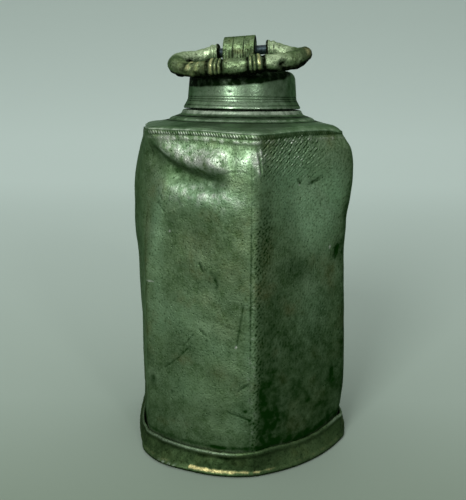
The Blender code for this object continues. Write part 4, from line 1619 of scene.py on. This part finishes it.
@dataclass
class SwingRing:
    """Cast baluster ring that hangs on the knuckle by an iron pin."""

    hinge: ScrewCap
    rest_tilt: float = math.radians(16.2)
    offset: float = 1.7
    half_width: float = 34.0
    length: float = 33.6
    end: float = 12.5
    straight_end: float = 14.0
    sides: int = 32
    step: float = 0.2
    pin_radius: float = 2.4
    pin_into_ring: float = 4.0
    bore: float = 2.55
    turning: Outline = (
        # Distance from the middle of the front and radius of the bar
        (0.0, 4.6), (3.6, 4.6), (5.6, 4.3), (6.3, 4.1), (6.55, 4.35), (7.2, 4.75), (7.9, 4.6),
        (8.25, 4.1), (8.6, 4.55), (9.2, 4.85), (9.8, 4.55), (10.15, 4.1), (10.5, 4.5), (11.1, 4.75),
        (11.9, 4.6), (12.5, 4.1), (13.2, 3.75), (16.0, 4.15), (20.0, 4.35), (28.0, 4.4),
        (34.0, 4.45), (40.0, 4.35), (48.0, 4.2), (56.0, 4.0),
    )
    collar: Outline = (
        # Distance back from each end and radius of the bar
        (5.2, 3.9), (4.6, 4.3), (3.9, 4.7), (3.2, 4.6), (2.7, 4.1), (2.3, 4.2), (1.7, 4.75),
        (0.9, 4.85), (0.3, 4.7), (0.0, 4.2),
    )
    kernel: tuple[float, ...] = (0.25, 0.5, 0.25)
    left_pull: float = 0.965
    right_pull: float = 0.98
    pulled: Stretch = Stretch(38.0, 30.0)
    # Worn thin on the right, flat where it lies on the cap thrown back, thumbed thin and knocked on the left
    worn: Stretch = Stretch(40.0, 11.0, 1.2)
    flat: Stretch = Stretch(0.5, 11.0, 0.75)
    flat_side: float = math.radians(135.0)
    thumbed: Stretch = Stretch(-26.0, 13.0, 1.7)
    knocked: Stretch = Stretch(-24.0, 14.0, 1.6)
    bends: tuple[Stretch, ...] = (
        # The ring is bent: on its right, front and back lie closer together
        Stretch(11.0, 9.0, 0.5), Stretch(28.0, 13.0, -0.5), Stretch(55.0, 17.0, -3.2),
        Stretch(-58.0, 11.0, -1.2),
    )
    shade_below: float = 0.42
    shade_edge: tuple[Stretch, ...] = (
        # How the upper edge of the painted shade on the underside wanders
        Stretch(19.0, 8.0, -0.12), Stretch(36.0, 14.0, 0.1), Stretch(-22.0, 12.0, -0.12),
        Stretch(-47.0, 13.0, 0.26),
    )
    left_front: Stretch = Stretch(-22.0, 14.0)
    right_front: Stretch = Stretch(19.0, 9.0)
    spool: Stretch = Stretch(0.0, 6.5, 0.15)
    dark_right: Stretch = Stretch(40.0, 13.0, 0.75)
    warm_left: Stretch = Stretch(-22.0, 18.0, 0.6)
    tear: tuple[float, float, float] = (30.7, -25.0, 204.2)
    tear_size: float = 2.7
    knob: tuple[float, float, float] = (39.2, -12.0, 210.9)
    knob_size: float = 2.4

    def line(self) -> tuple[Points, Array]:
        """Centre line of the right half, from the middle of the front to the end.

        Returns:
            Closely spaced points in the ring's plane, and the distance to each.
        """
        share = np.linspace(0.0, 1.0, 801)
        straight = np.where(share <= 0.5, 0.0, self.straight_end)
        x = straight + (self.half_width - straight) * np.sin(np.pi * share)
        y = -self.length / 2 * (1 + np.cos(np.pi * share))
        points = np.concatenate([np.stack([x, y], axis=1), [[self.end, 0.0]]])
        lengths = np.linalg.norm(np.diff(points, axis=0), axis=1)
        return points, np.concatenate([[0.0], np.cumsum(lengths)])

    def frame(self) -> Matrix:
        """Frame of the resting ring, in millimetres."""
        return self.hinge.hinge_frame() @ Matrix.Rotation(self.rest_tilt, 4, "X")

    def build(self, material: Material, iron: Material) -> None:
        """Model and dress the ring and its pin.

        Args:
            material: Finish of the cast ring.
            iron: Finish of the pin.
        """
        line, distance = self.line()
        total = distance[-1]
        along, radius = self.stations(total)
        bulk = self.pulled.along(np.abs(along))[:, 0]
        pull = np.where(along < 0, (1 - self.left_pull) * bulk - 1, 1 - (1 - self.right_pull) * bulk)
        x = np.interp(np.abs(along), distance, line[:, 0]) * pull
        y = np.interp(np.abs(along), distance, line[:, 1])
        heading = np.stack([np.gradient(x), np.gradient(y)], axis=1)
        heading /= np.linalg.norm(heading, axis=1)[:, None]
        turn = np.linspace(0.0, math.tau, self.sides + 1)
        lumps = self.lumps(along, turn, total)
        to_cap = np.clip(np.cos(turn - self.flat_side), 0.0, 1.0) ** 2
        on_top = np.clip(np.sin(turn), 0.0, 1.0)
        reach = radius[:, None] + lumps - self.flat.along(along) * to_cap - self.thumbed.along(along) * on_top
        bent = sum(bend.along(along) for bend in self.bends)
        px = x[:, None] + heading[:, 1:2] * reach * np.cos(turn)
        py = y[:, None] - heading[:, 0:1] * reach * np.cos(turn)
        points = self.put_in_place(np.stack([px, py, reach * np.sin(turn) + bent], axis=-1))
        middle = self.put_in_place(np.stack([x, y, bent[:, 0]], axis=-1))[:, None, :]
        torn = bell(np.linalg.norm(points - np.array(self.tear), axis=-1), self.tear_size)
        points = points + (middle - points) * 0.5 * torn[..., None]
        knob = bell(np.linalg.norm(points - np.array(self.knob), axis=-1), self.knob_size)
        points = points + (points - middle) * 0.4 * knob[..., None]
        points[:, -1] = points[:, 0]
        bar = grid_piece("baluster_ring", points)
        paint(bar, self.wear(along, turn, radius, lumps, torn, knob))
        close_tube(bar)
        into = self.end + self.pin_into_ring
        cut_away(bar, self.hinge.rod("ring_drill", self.bore, self.offset - into, self.offset + into, 32))
        hand_over(bar, material, Body.SWING_RING, Slot.RING, "ring")

        into = into - 0.3
        pin = self.hinge.rod("hinge_pin_iron", self.pin_radius, self.offset - into, self.offset + into, 32)
        hand_over(pin, iron, Body.SWING_RING, Slot.PIN, "hinge_pin")

    def stations(self, total: float) -> tuple[Array, Array]:
        """Places along the whole bar and its turned radius there.

        Args:
            total: Length of half the bar.

        Returns:
            Distances from the middle of the front, to the left negative, and radii.
        """
        turned = np.array([*self.turning, *((total - back, radius) for back, radius in self.collar)])
        right = np.linspace(0.0, total, int(total / self.step))
        along = np.concatenate([-right[:0:-1], right])
        radius = np.interp(np.abs(along), turned[:, 0], turned[:, 1])
        radius[1:-1] = np.convolve(radius, self.kernel, mode="valid")
        return along, radius - self.worn.along(along)[:, 0]

    def lumps(self, along: Array, turn: Array, total: float) -> Array:
        """Height of the casting's lumps, more on the knocked left front and none on the collars.

        Args:
            along: Places along the bar.
            turn: Angles round the bar.
            total: Length of half the bar.

        Returns:
            A height for each place and angle.
        """
        around = 4 * turn[None, :]
        lumps = 0.15 * (1 + self.knocked.along(along)) * ripple(61, 7.0, along[:, None], around)
        lumps = lumps + 0.09 * ripple(62, 2.8, along[:, None], around)
        lumps = lumps * (np.abs(along) < total - 5)[:, None]
        lumps[:, -1] = lumps[:, 0]
        return lumps

    def put_in_place(self, points: Points) -> Points:
        """Move points of the ring's own plane to where the ring rests.

        Args:
            points: Places round the ring's middle.

        Returns:
            Places on the flask.
        """
        frame = np.array(self.frame())
        return (points + np.array([self.offset, 0.0, 0.0])) @ frame[:3, :3].T + frame[:3, 3]

    def wear(
        self, along: Array, turn: Array, radius: Array, lumps: Array, torn: Array, knob: Array
    ) -> dict[str, Array]:
        """Where the ring is rubbed bright, black, stained and pale, and where shade and highlights are
        painted on it.

        Args:
            along: Places along the bar.
            turn: Angles round the bar.
            radius: Radius of the bar at each place.
            lumps: Height of the lumps.
            torn: Share of the tear.
            knob: Share of the knob.

        Returns:
            Shares by the name of the attribute that keeps them.
        """
        from_end = along[-1] - np.abs(along)[:, None]
        upper = 0.5 + 0.5 * np.sin(turn)[None, :]
        left_front = self.left_front.along(along)
        smooth = np.convolve(np.pad(radius, 14, mode="edge"), np.ones(29) / 29, mode="valid")
        bead = np.clip((radius - smooth) / 0.3, -1.0, 1.0)[:, None] * (from_end > 8.0)
        # Bright on crests of the beads and the knob, and on the tops of the left front's lumps, there partly
        # a painted highlight
        on_lumps = left_front * upper * np.clip(lumps / 0.25, 0.0, 1.0)
        rubbed_and_highlight = highest(0.95 * step_up(bead, 0.6, 1.0), 0.9 * on_lumps, 1.3 * knob)
        # Black in grooves and hollows, in the tear and on the right; painted shade underneath and on the
        # collars' inner ends
        edge = self.shade_below + sum(stretch.along(along) for stretch in self.shade_edge)
        under_shade = step_up(edge - upper, 0.0, 0.14)
        hollows = left_front * np.clip(-lumps / 0.3, 0.0, 0.9)
        dark_right, inner_end = self.dark_right.along(along), step_down(from_end, 0.9, 1.4)
        dirt_and_shade = highest(-1.3 * bead, 1.2 * torn, under_shade, hollows, dark_right, inner_end)
        # Pale on the collars; painted light on the tops of the back bars, of the right front and a little of
        # the spool
        behind = np.maximum(step_up(-along, 38.0, 46.0), 0.8 * step_up(along, 53.0, 60.0))[:, None]
        behind = behind * np.minimum(1.4 * upper, 1.0)
        right_front = self.right_front.along(along) * np.minimum(1.6 * upper, 1.0)
        on_spool = self.spool.along(along) * upper
        pale = highest(step_down(from_end, 4.5, 6.5), behind, 1.1 * right_front, on_spool)
        warm = self.warm_left.along(along) * np.ones_like(upper)
        return {"rubbed_and_highlight": rubbed_and_highlight, "dirt_and_shade": dirt_and_shade, "warm": warm, "pale": pale}


# Finishes


@dataclass(frozen=True)
class Clouds:
    """Cloudy noise of one size, spread to zero and one between two of its values."""

    size_mm: float
    detail: float
    shift: tuple[float, float, float]
    low: float
    high: float

    def share(self, tree: NodeTree, mm: NodeSocket) -> NodeSocket:
        """Draw the clouds in a material.

        Args:
            tree: Node tree of the material.
            mm: Places in millimetres.

        Returns:
            Output that gives the share of the clouds.
        """
        moved = add_node(tree, "ShaderNodeVectorMath", {0: mm, 1: self.shift}, operation="ADD")
        drawn = {"Vector": moved, "Scale": 1 / self.size_mm, "Detail": self.detail}
        raw = add_node(tree, "ShaderNodeTexNoise", drawn)
        spread = {"Value": raw, "From Min": self.low, "From Max": self.high}
        return add_node(tree, "ShaderNodeMapRange", spread)


@dataclass(frozen=True)
class Pewter:
    """Pewter gone dull: a grey-green skin of oxide, mottled, pitted and scratched, bright where rubbed, with
    painted shade and painted highlights that the piece keeps.
    """

    name: str
    ground: str
    dark: str
    light: str
    stain: str
    bloom_and_highlight: str
    bright_metal_and_highlight: str
    soil_and_shade: str
    making: Making
    roughness: float
    metallic: float = 0.85
    patch_mm: float = 26.0
    stain_mm: float = 15.0
    mottle_mm: float = 3.6
    grain_mm: float = 1.1
    speck_mm: float = 0.9
    speck_share: float = 0.5
    pit_mm: float = 1.4
    pit_size: float = 0.33
    edge_tint: str = "#7E9478"
    streak_mm: Span = (0.45, 22.0)
    streak_share: float = 0.3
    relief: float = 1.0

    def clouds(self) -> dict[str, Clouds]:
        """Clouds of the skin, from patches of oxide a few centimetres across down to specks.

        Returns:
            The clouds by name. Grain and specks are drawn just coarse enough to show in the picture.
        """
        return {
            "patch": Clouds(self.patch_mm, 4.0, (0.0, 0.0, 0.0), 0.22, 0.58),
            "pale": Clouds(0.6 * self.patch_mm, 3.0, (91.0, 17.0, 44.0), 0.52, 0.78),
            "stain": Clouds(self.stain_mm, 4.0, (7.0, 63.0, 29.0), 0.54, 0.72),
            "blotch": Clouds(2 * self.mottle_mm, 3.0, (57.0, 8.0, 21.0), 0.50, 0.30),
            "mottle": Clouds(self.mottle_mm, 5.0, (3.0, 5.0, 7.0), 0.30, 0.70),
            "cluster": Clouds(4 * self.pit_mm, 2.0, (31.0, 22.0, 5.0), 0.42, 0.60),
            "grain": Clouds(self.grain_mm, 2.0, (0.0, 0.0, 0.0), 0.36, 0.64),
            "dark_speck": Clouds(self.speck_mm, 1.0, (13.0, 2.0, 8.0), 0.44, 0.30),
            "pale_speck": Clouds(self.speck_mm, 1.0, (13.0, 2.0, 8.0), 0.58, 0.72),
        }

    def material(self) -> Material:
        """Make the material.

        Returns:
            A material on Object coordinates that also reads the piece's wear, painted shade and painted
            highlights.
        """
        material, tree, shader = new_material(self.name)
        node = partial(add_node, tree)
        at = node("ShaderNodeTexCoord", output="Object")
        mm = node("ShaderNodeVectorMath", {0: at, "Scale": 1 / MM}, operation="SCALE")
        share = {name: clouds.share(tree, mm) for name, clouds in self.clouds().items()}
        share["streak"] = self.streaks(tree, mm)
        share["pit"] = self.pits(tree, mm)
        half = node("ShaderNodeMath", {0: share["mottle"], 1: 0.5}, operation="MULTIPLY")
        both = {0: share["grain"], 1: 0.5, 2: half}
        share["fine"] = node("ShaderNodeMath", both, operation="MULTIPLY_ADD")

        # Wear, painted shade and painted highlights that are kept on the piece, and pits, broken up by finer
        # clouds; the pale attribute gives bloom and painted highlight
        for name in ("rubbed_and_highlight", "dirt_and_shade", "bloom_and_highlight", "warm"):
            painted = "pale" if name == "bloom_and_highlight" else name
            share[name] = node("ShaderNodeAttribute", attribute_name=painted, output="Fac")
        for name, by, low, high in (
            ("warm", "fine", 0.3, 1.0),
            ("bloom_and_highlight", "fine", 0.35, 1.1),
            ("dirt_and_shade", "mottle", 1.25, 0.75),
            ("pit", "cluster", 0.25, 1.0),
        ):
            broken = node("ShaderNodeMapRange", {"Value": share[by], "To Min": low, "To Max": high})
            share[name] = node("ShaderNodeMath", {0: share[name], 1: broken}, operation="MULTIPLY")
        stained = {0: share["stain"], 1: 0.6, 2: share["warm"]}
        share["stain"] = node("ShaderNodeMath", stained, operation="MULTIPLY_ADD", use_clamp=True)
        ragged = {0: share["mottle"], 1: 0.9, 2: share["rubbed_and_highlight"]}
        ragged = node("ShaderNodeMath", ragged, operation="MULTIPLY_ADD")
        ragged = node("ShaderNodeMapRange", {"Value": ragged, "From Min": 0.55, "From Max": 1.35})
        there = node("ShaderNodeMapRange", {"Value": share["rubbed_and_highlight"], "From Min": 0.02, "From Max": 0.3})
        share["rubbed_and_highlight"] = node("ShaderNodeMath", {0: ragged, 1: there}, operation="MULTIPLY")

        # Layers of the skin, each over the one before: dirt and painted shade cover pale specks but not dark
        # ones
        colour: Any = linear(self.dark)
        for name, strength, hex_colour in (
            ("patch", 1.0, self.ground),
            ("pale", 0.75, self.light),
            ("stain", 1.0, self.stain),
            ("mottle", 0.45, self.light),
            ("blotch", 0.35, self.dark),
            ("streak", self.streak_share, self.light),
            ("bloom_and_highlight", 1.0, self.bloom_and_highlight),
            ("rubbed_and_highlight", 1.0, self.bright_metal_and_highlight),
            ("pale_speck", 0.9 * self.speck_share, self.light),
            ("dirt_and_shade", 1.0, self.soil_and_shade),
            ("dark_speck", self.speck_share, self.soil_and_shade),
            ("pit", 0.85, self.soil_and_shade),
        ):
            cover = node("ShaderNodeMath", {0: share[name], 1: strength}, operation="MULTIPLY")
            layers = {0: cover, 6: colour, 7: linear(hex_colour)}
            colour = node("ShaderNodeMix", layers, data_type="RGBA", output=2)

        # Rubbed metal and painted highlights are smoother, dirt and painted shade duller
        ends = {"To Min": self.roughness + 0.08, "To Max": self.roughness - 0.06}
        rough = node("ShaderNodeMapRange", {"Value": share["mottle"], **ends})
        for name, change in (("rubbed_and_highlight", -0.10), ("dirt_and_shade", 0.25)):
            changed = {0: share[name], 1: change, 2: rough}
            rough = node("ShaderNodeMath", changed, operation="MULTIPLY_ADD", use_clamp=True)

        # Heights in millimetres
        height: Any = 0.0
        for name, rise in (
            ("mottle", 0.05),
            ("grain", 0.05),
            ("dark_speck", -0.04),
            ("pit", -0.16),
            ("streak", 0.15 * self.streak_share),
            ("patch", 0.10),
        ):
            raised = {0: share[name], 1: rise * self.relief, 2: height}
            height = node("ShaderNodeMath", raised, operation="MULTIPLY_ADD")
        bump = node("ShaderNodeBump", {"Height": height, "Distance": MM, "Strength": 1.0})
        shader.inputs["Metallic"].default_value = self.metallic
        shader.inputs["Specular Tint"].default_value = linear(self.edge_tint)
        tree.links.new(colour, shader.inputs["Base Color"])
        tree.links.new(rough, shader.inputs["Roughness"])
        tree.links.new(bump, shader.inputs["Normal"])
        return material

    def pits(self, tree: NodeTree, mm: NodeSocket) -> NodeSocket:
        """Round pits of uneven size, at most one in each cell of the surface.

        Args:
            tree: Node tree of the material.
            mm: Places in millimetres.

        Returns:
            Output that gives the share of the pits.
        """
        node = partial(add_node, tree)
        away = node("ShaderNodeTexVoronoi", {"Vector": mm, "Scale": 1 / self.pit_mm}, "Distance")
        red = node("ShaderNodeSeparateColor", {0: away.node.outputs["Color"]})
        sized = {0: red, 1: 2 * self.pit_size, 2: -self.pit_size}
        size = node("ShaderNodeMath", sized, operation="MULTIPLY_ADD")
        depth = node("ShaderNodeMath", {0: size, 1: away}, operation="SUBTRACT")
        return node("ShaderNodeMapRange", {"Value": depth, "From Min": -0.02, "From Max": 0.10})

    def streaks(self, tree: NodeTree, mm: NodeSocket) -> NodeSocket:
        """Thin streaks: lines round the axis on turned work, and scratches on any other.

        Args:
            tree: Node tree of the material.
            mm: Places in millimetres.

        Returns:
            Output that gives the share of the streaks.
        """
        node = partial(add_node, tree)
        width, length = self.streak_mm
        if self.making is Making.TURNED:
            up = node("ShaderNodeSeparateXYZ", {0: mm}, "Z")
            flat = node("ShaderNodeVectorMath", {0: mm, 1: (1.0, 1.0, 0.0)}, operation="MULTIPLY")
            radius = node("ShaderNodeVectorMath", {0: flat}, operation="LENGTH", output="Value")
            vector = node("ShaderNodeCombineXYZ", {0: radius, 2: up})
            scale = (1 / width, 1.0, 1 / width)
            turn = (0.0, 0.0, 0.0)
        else:
            vector = mm
            scale = (1 / width, 1 / width, 1 / length)
            turn = (0.0, 0.04, 0.0)
        turned = node("ShaderNodeMapping", {"Vector": vector, "Rotation": turn}, vector_type="TEXTURE")
        drawn = node("ShaderNodeMapping", {"Vector": turned, "Scale": scale})
        raw = node("ShaderNodeTexNoise", {"Vector": drawn, "Scale": 1.0, "Detail": 1.0})
        return node("ShaderNodeMapRange", {"Value": raw, "From Min": 0.66, "From Max": 0.78})


@dataclass(frozen=True)
class PlainFinish:
    """A finish of one ground colour with fine mottling, for the pin and the washer."""

    name: str
    ground: str
    dark: str
    roughness: float
    metallic: float
    mottle_mm: float
    relief_mm: float

    def material(self) -> Material:
        """Make the material.

        Returns:
            A mottled material on Object coordinates.
        """
        material, tree, shader = new_material(self.name)
        node = partial(add_node, tree)
        at = node("ShaderNodeTexCoord", output="Object")
        raw = node("ShaderNodeTexNoise", {"Vector": at, "Scale": 1 / (self.mottle_mm * MM), "Detail": 5.0})
        share = node("ShaderNodeMapRange", {"Value": raw, "From Min": 0.35, "From Max": 0.65})
        layers = {0: share, 6: linear(self.dark), 7: linear(self.ground)}
        colour = node("ShaderNodeMix", layers, data_type="RGBA", output=2)
        bump = node("ShaderNodeBump", {"Height": raw, "Distance": self.relief_mm * MM, "Strength": 1.0})
        shader.inputs["Metallic"].default_value = self.metallic
        shader.inputs["Roughness"].default_value = self.roughness
        tree.links.new(colour, shader.inputs["Base Color"])
        tree.links.new(bump, shader.inputs["Normal"])
        return material


@dataclass(frozen=True)
class GradedPaper:
    """Backdrop paper whose colour goes from a pale tone to a deep one as painted light and shade, smooth and
    without gloss.
    """

    name: str
    pale: str
    deep: str
    roughness: float

    def material(self) -> Material:
        """Make the material.

        Returns:
            A dull material that reads the sheet's painted light.
        """
        material, tree, shader = new_material(self.name)
        painted_light = add_node(tree, "ShaderNodeAttribute", attribute_name="painted_light", output="Fac")
        layers = {0: painted_light, 6: linear(self.deep), 7: linear(self.pale)}
        colour = add_node(tree, "ShaderNodeMix", layers, data_type="RGBA", output=2)
        shader.inputs["Roughness"].default_value = self.roughness
        tree.links.new(colour, shader.inputs["Base Color"])
        return material


# Rolled sheet under old oxide: dull grey-green and cloudy, with broad soft highlights and fine scratches
SHEET = Pewter(
    name="rolled_pewter_oxidised",
    ground="#566E4B",
    dark="#2A4421",
    light="#809878",
    stain="#5C5A34",
    bloom_and_highlight="#8BAE8A",
    bright_metal_and_highlight="#C2C8BE",
    soil_and_shade="#0D3006",
    making=Making.ROLLED,
    roughness=0.45,
    speck_share=0.48,
)
# Cast strips that hands seldom reach: the darkest skin, yellowish and bright where the edge is worn
FOOT = Pewter(
    name="cast_pewter_foot",
    ground="#3B5130",
    dark="#1C2D15",
    light="#4E6441",
    stain="#424823",
    bloom_and_highlight="#9DB09B",
    bright_metal_and_highlight="#A39D6C",
    soil_and_shade="#081A04",
    making=Making.CAST,
    roughness=0.52,
)
# Turned on a lathe: smoother and paler, with lines round the axis and a tighter highlight
TURNED = Pewter(
    name="turned_pewter",
    ground="#6C8967",
    dark="#2C4926",
    light="#8DA88A",
    stain="#4D6040",
    bloom_and_highlight="#949E92",
    bright_metal_and_highlight="#B9CBB3",
    soil_and_shade="#071803",
    making=Making.TURNED,
    roughness=0.32,
    streak_share=0.12,
    speck_share=0.22,
    pit_mm=2.2,
    pit_size=0.2,
    relief=0.4,
)
# Cast and much handled: lumpy, finely mottled, black in the hollows and golden on the crests
CAST = Pewter(
    name="cast_pewter_rubbed",
    ground="#5C714B",
    dark="#25371C",
    light="#7C916E",
    stain="#68693F",
    bloom_and_highlight="#B2C8A0",
    bright_metal_and_highlight="#A6AA78",
    soil_and_shade="#070E03",
    making=Making.CAST,
    roughness=0.42,
    patch_mm=9.0,
    stain_mm=7.0,
    mottle_mm=2.2,
    speck_share=0.6,
)
# Forged iron with a blue-black scale: nearly black, with a soft sheen
IRON = PlainFinish(
    name="forged_iron_dark",
    ground="#37464A",
    dark="#1C2628",
    roughness=0.5,
    metallic=0.8,
    mottle_mm=1.6,
    relief_mm=0.12,
)
# Vegetable-tanned leather: brown, matt and finely grained
LEATHER = PlainFinish(
    name="vegetable_tanned_leather",
    ground="#6A4A30",
    dark="#3C2817",
    roughness=0.8,
    metallic=0.0,
    mottle_mm=1.4,
    relief_mm=0.25,
)
# Seamless studio paper, matt and without grain, its colour going from deep to pale along the sweep as painted
# light and shade
PAPER = GradedPaper(name="graded_studio_paper", pale="#C4D6CE", deep="#768676", roughness=0.9)


@dataclass(frozen=True)
class Lamp:
    """A soft lamp: degrees from -Y towards +X and above the horizon, sides in metres and power in watts."""

    name: str
    azimuth: float
    height: float
    sides: Span
    power: float


@dataclass
class Studio:
    """Sweep of paper, in millimetres, with soft lamps and the photograph's camera, in metres."""

    eye: tuple[float, float, float] = (0.12767, -0.32245, 0.1908)
    heading: Span = (-0.3788, 0.9255)
    pitch: float = math.radians(14.08)
    roll: float = math.radians(0.65)
    lens: float = 45.0
    lamps: tuple[Lamp, ...] = (
        Lamp("key_lamp", -3.0, 27.0, (0.40, 0.85), 15.0),
        Lamp("second_lamp", 49.0, 24.0, (0.16, 0.16), 2.6),
    )
    lamp_distance: float = 1.5
    lamp_aim: tuple[float, float, float] = (0.0, 0.0, 0.11)
    horizon: float = 0.2
    zenith: float = 1.0
    right_share: float = 0.8
    floor_front: float = -2500.0
    bend_start: float = 700.0
    bend_radius: float = 1600.0
    side_reach: float = 9000.0
    tones: Outline = (
        # Distance behind the flask and the paper's tone of painted light
        (-100.0, 0.0), (20.0, 0.27), (220.0, 0.45), (900.0, 0.95), (1200.0, 1.0), (1800.0, 0.85),
    )

    def build(self) -> None:
        """Set up the sweep, the lamps, the sky and the camera."""
        self.build_sweep()
        for lamp in self.lamps:
            self.add_lamp(lamp)
        self.build_sky()
        self.build_camera()
        bpy.context.scene.view_settings.view_transform = "Standard"

    def build_sweep(self) -> None:
        """Model the paper sweep: a floor that curves up behind."""
        turn = np.linspace(0.0, math.pi / 2, 49)
        flat = np.linspace(self.floor_front, self.bend_start, 161)[:-1]
        along = np.concatenate([flat, self.bend_start + self.bend_radius * np.sin(turn)])
        up = np.concatenate([np.zeros(len(flat)), self.bend_radius * (1 - np.cos(turn))])
        side = np.linspace(-self.side_reach, self.side_reach, 9)
        forward = np.array(self.heading)
        right = np.array([forward[1], -forward[0]])
        ground = along[:, None, None] * forward + side[None, :, None] * right
        height = np.repeat(up[:, None], len(side), axis=1)[..., None]
        sweep = grid_piece("paper_sweep", np.concatenate([ground, height], axis=-1))
        # The paper's tone along the sweep is painted light and shade
        stops = np.array(self.tones)
        painted_light = np.interp(along, stops[:, 0], stops[:, 1])
        paint(sweep, {"painted_light": np.repeat(painted_light[:, None], len(side), axis=1)})
        sweep.data.materials.append(PAPER.material())
        pick_only(sweep)
        bpy.ops.object.shade_smooth()

    def add_lamp(self, lamp: Lamp) -> None:
        """Add one lamp that points at the flask.

        Args:
            lamp: The lamp.
        """
        turn, rise = math.radians(lamp.azimuth), math.radians(lamp.height)
        level = math.cos(rise)
        direction = Vector((math.sin(turn) * level, -math.cos(turn) * level, math.sin(rise)))
        light = bpy.data.lights.new(lamp.name, "AREA")
        light.shape = "RECTANGLE"
        light.size, light.size_y = lamp.sides
        light.energy = lamp.power
        holder = bpy.data.objects.new(lamp.name, light)
        holder.location = Vector(self.lamp_aim) + direction * self.lamp_distance
        holder.rotation_euler = (-direction).to_track_quat("-Z", "Y").to_euler()
        bpy.context.scene.collection.objects.link(holder)

    def build_sky(self) -> None:
        """Light the room from overhead, less from the sides and least from the right."""
        world = bpy.data.worlds.new("room")
        bpy.context.scene.world = world
        world.use_nodes = True
        tree = world.node_tree
        node = partial(add_node, tree)
        view = node("ShaderNodeTexCoord", output="Generated")
        right, _, up = node("ShaderNodeSeparateXYZ", {0: view}).node.outputs
        to_right = {"From Min": -0.2, "From Max": 0.9, "To Min": 1.0, "To Max": self.right_share}
        side = node("ShaderNodeMapRange", {"Value": right, **to_right})
        overhead = node("ShaderNodeMapRange", {"Value": up, "To Min": self.horizon, "To Max": self.zenith})
        strength = node("ShaderNodeMath", {0: side, 1: overhead}, operation="MULTIPLY")
        background = tree.nodes["Background"]
        background.inputs["Color"].default_value = (1.0, 1.0, 1.0, 1.0)
        tree.links.new(strength, background.inputs["Strength"])

    def build_camera(self) -> None:
        """Put the camera where the photograph was taken from."""
        forward = Vector((*self.heading, 0.0)).normalized()
        right = Vector((forward.y, -forward.x, 0.0))
        up = Vector((0.0, 0.0, 1.0))
        look = forward * math.cos(self.pitch) - up * math.sin(self.pitch)
        upright = forward * math.sin(self.pitch) + up * math.cos(self.pitch)
        side = right * math.cos(self.roll) + upright * math.sin(self.roll)
        top = upright * math.cos(self.roll) - right * math.sin(self.roll)
        camera = bpy.data.cameras.new("photo_camera")
        camera.lens = self.lens
        camera.clip_start = 0.01
        holder = bpy.data.objects.new("photo_camera", camera)
        turned = Matrix((side, top, -look)).transposed().to_4x4()
        holder.matrix_world = Matrix.Translation(self.eye) @ turned
        bpy.context.scene.collection.objects.link(holder)
        bpy.context.scene.camera = holder


def main() -> None:
    """Load the solids, build every sub-assembly round them and log each piece's faces."""
    logging.basicConfig(level=logging.INFO, format="%(message)s")
    for item in list(bpy.data.objects):
        bpy.data.objects.remove(item)
    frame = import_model()
    Studio().build()

    sheet = SHEET.material()
    foot = FOOT.material()
    turned = TURNED.material()
    cast = CAST.material()
    form = BodyForm()
    WallBody(form).build(sheet)
    Foot(form).build(foot)
    base = frame["nodes"]["base_plate"]
    base.data.materials.clear()
    base.data.materials.append(foot)
    LOG.info("base_plate: the solid itself, in the finish of the foot")
    Shoulder(form).build(turned, sheet)
    NeckAndSeal().build(turned, LEATHER.material())
    cap = ScrewCap()
    cap.build(turned, cast)
    SwingRing(cap).build(cast, IRON.material())

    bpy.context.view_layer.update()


if __name__ == "__main__":
    main()
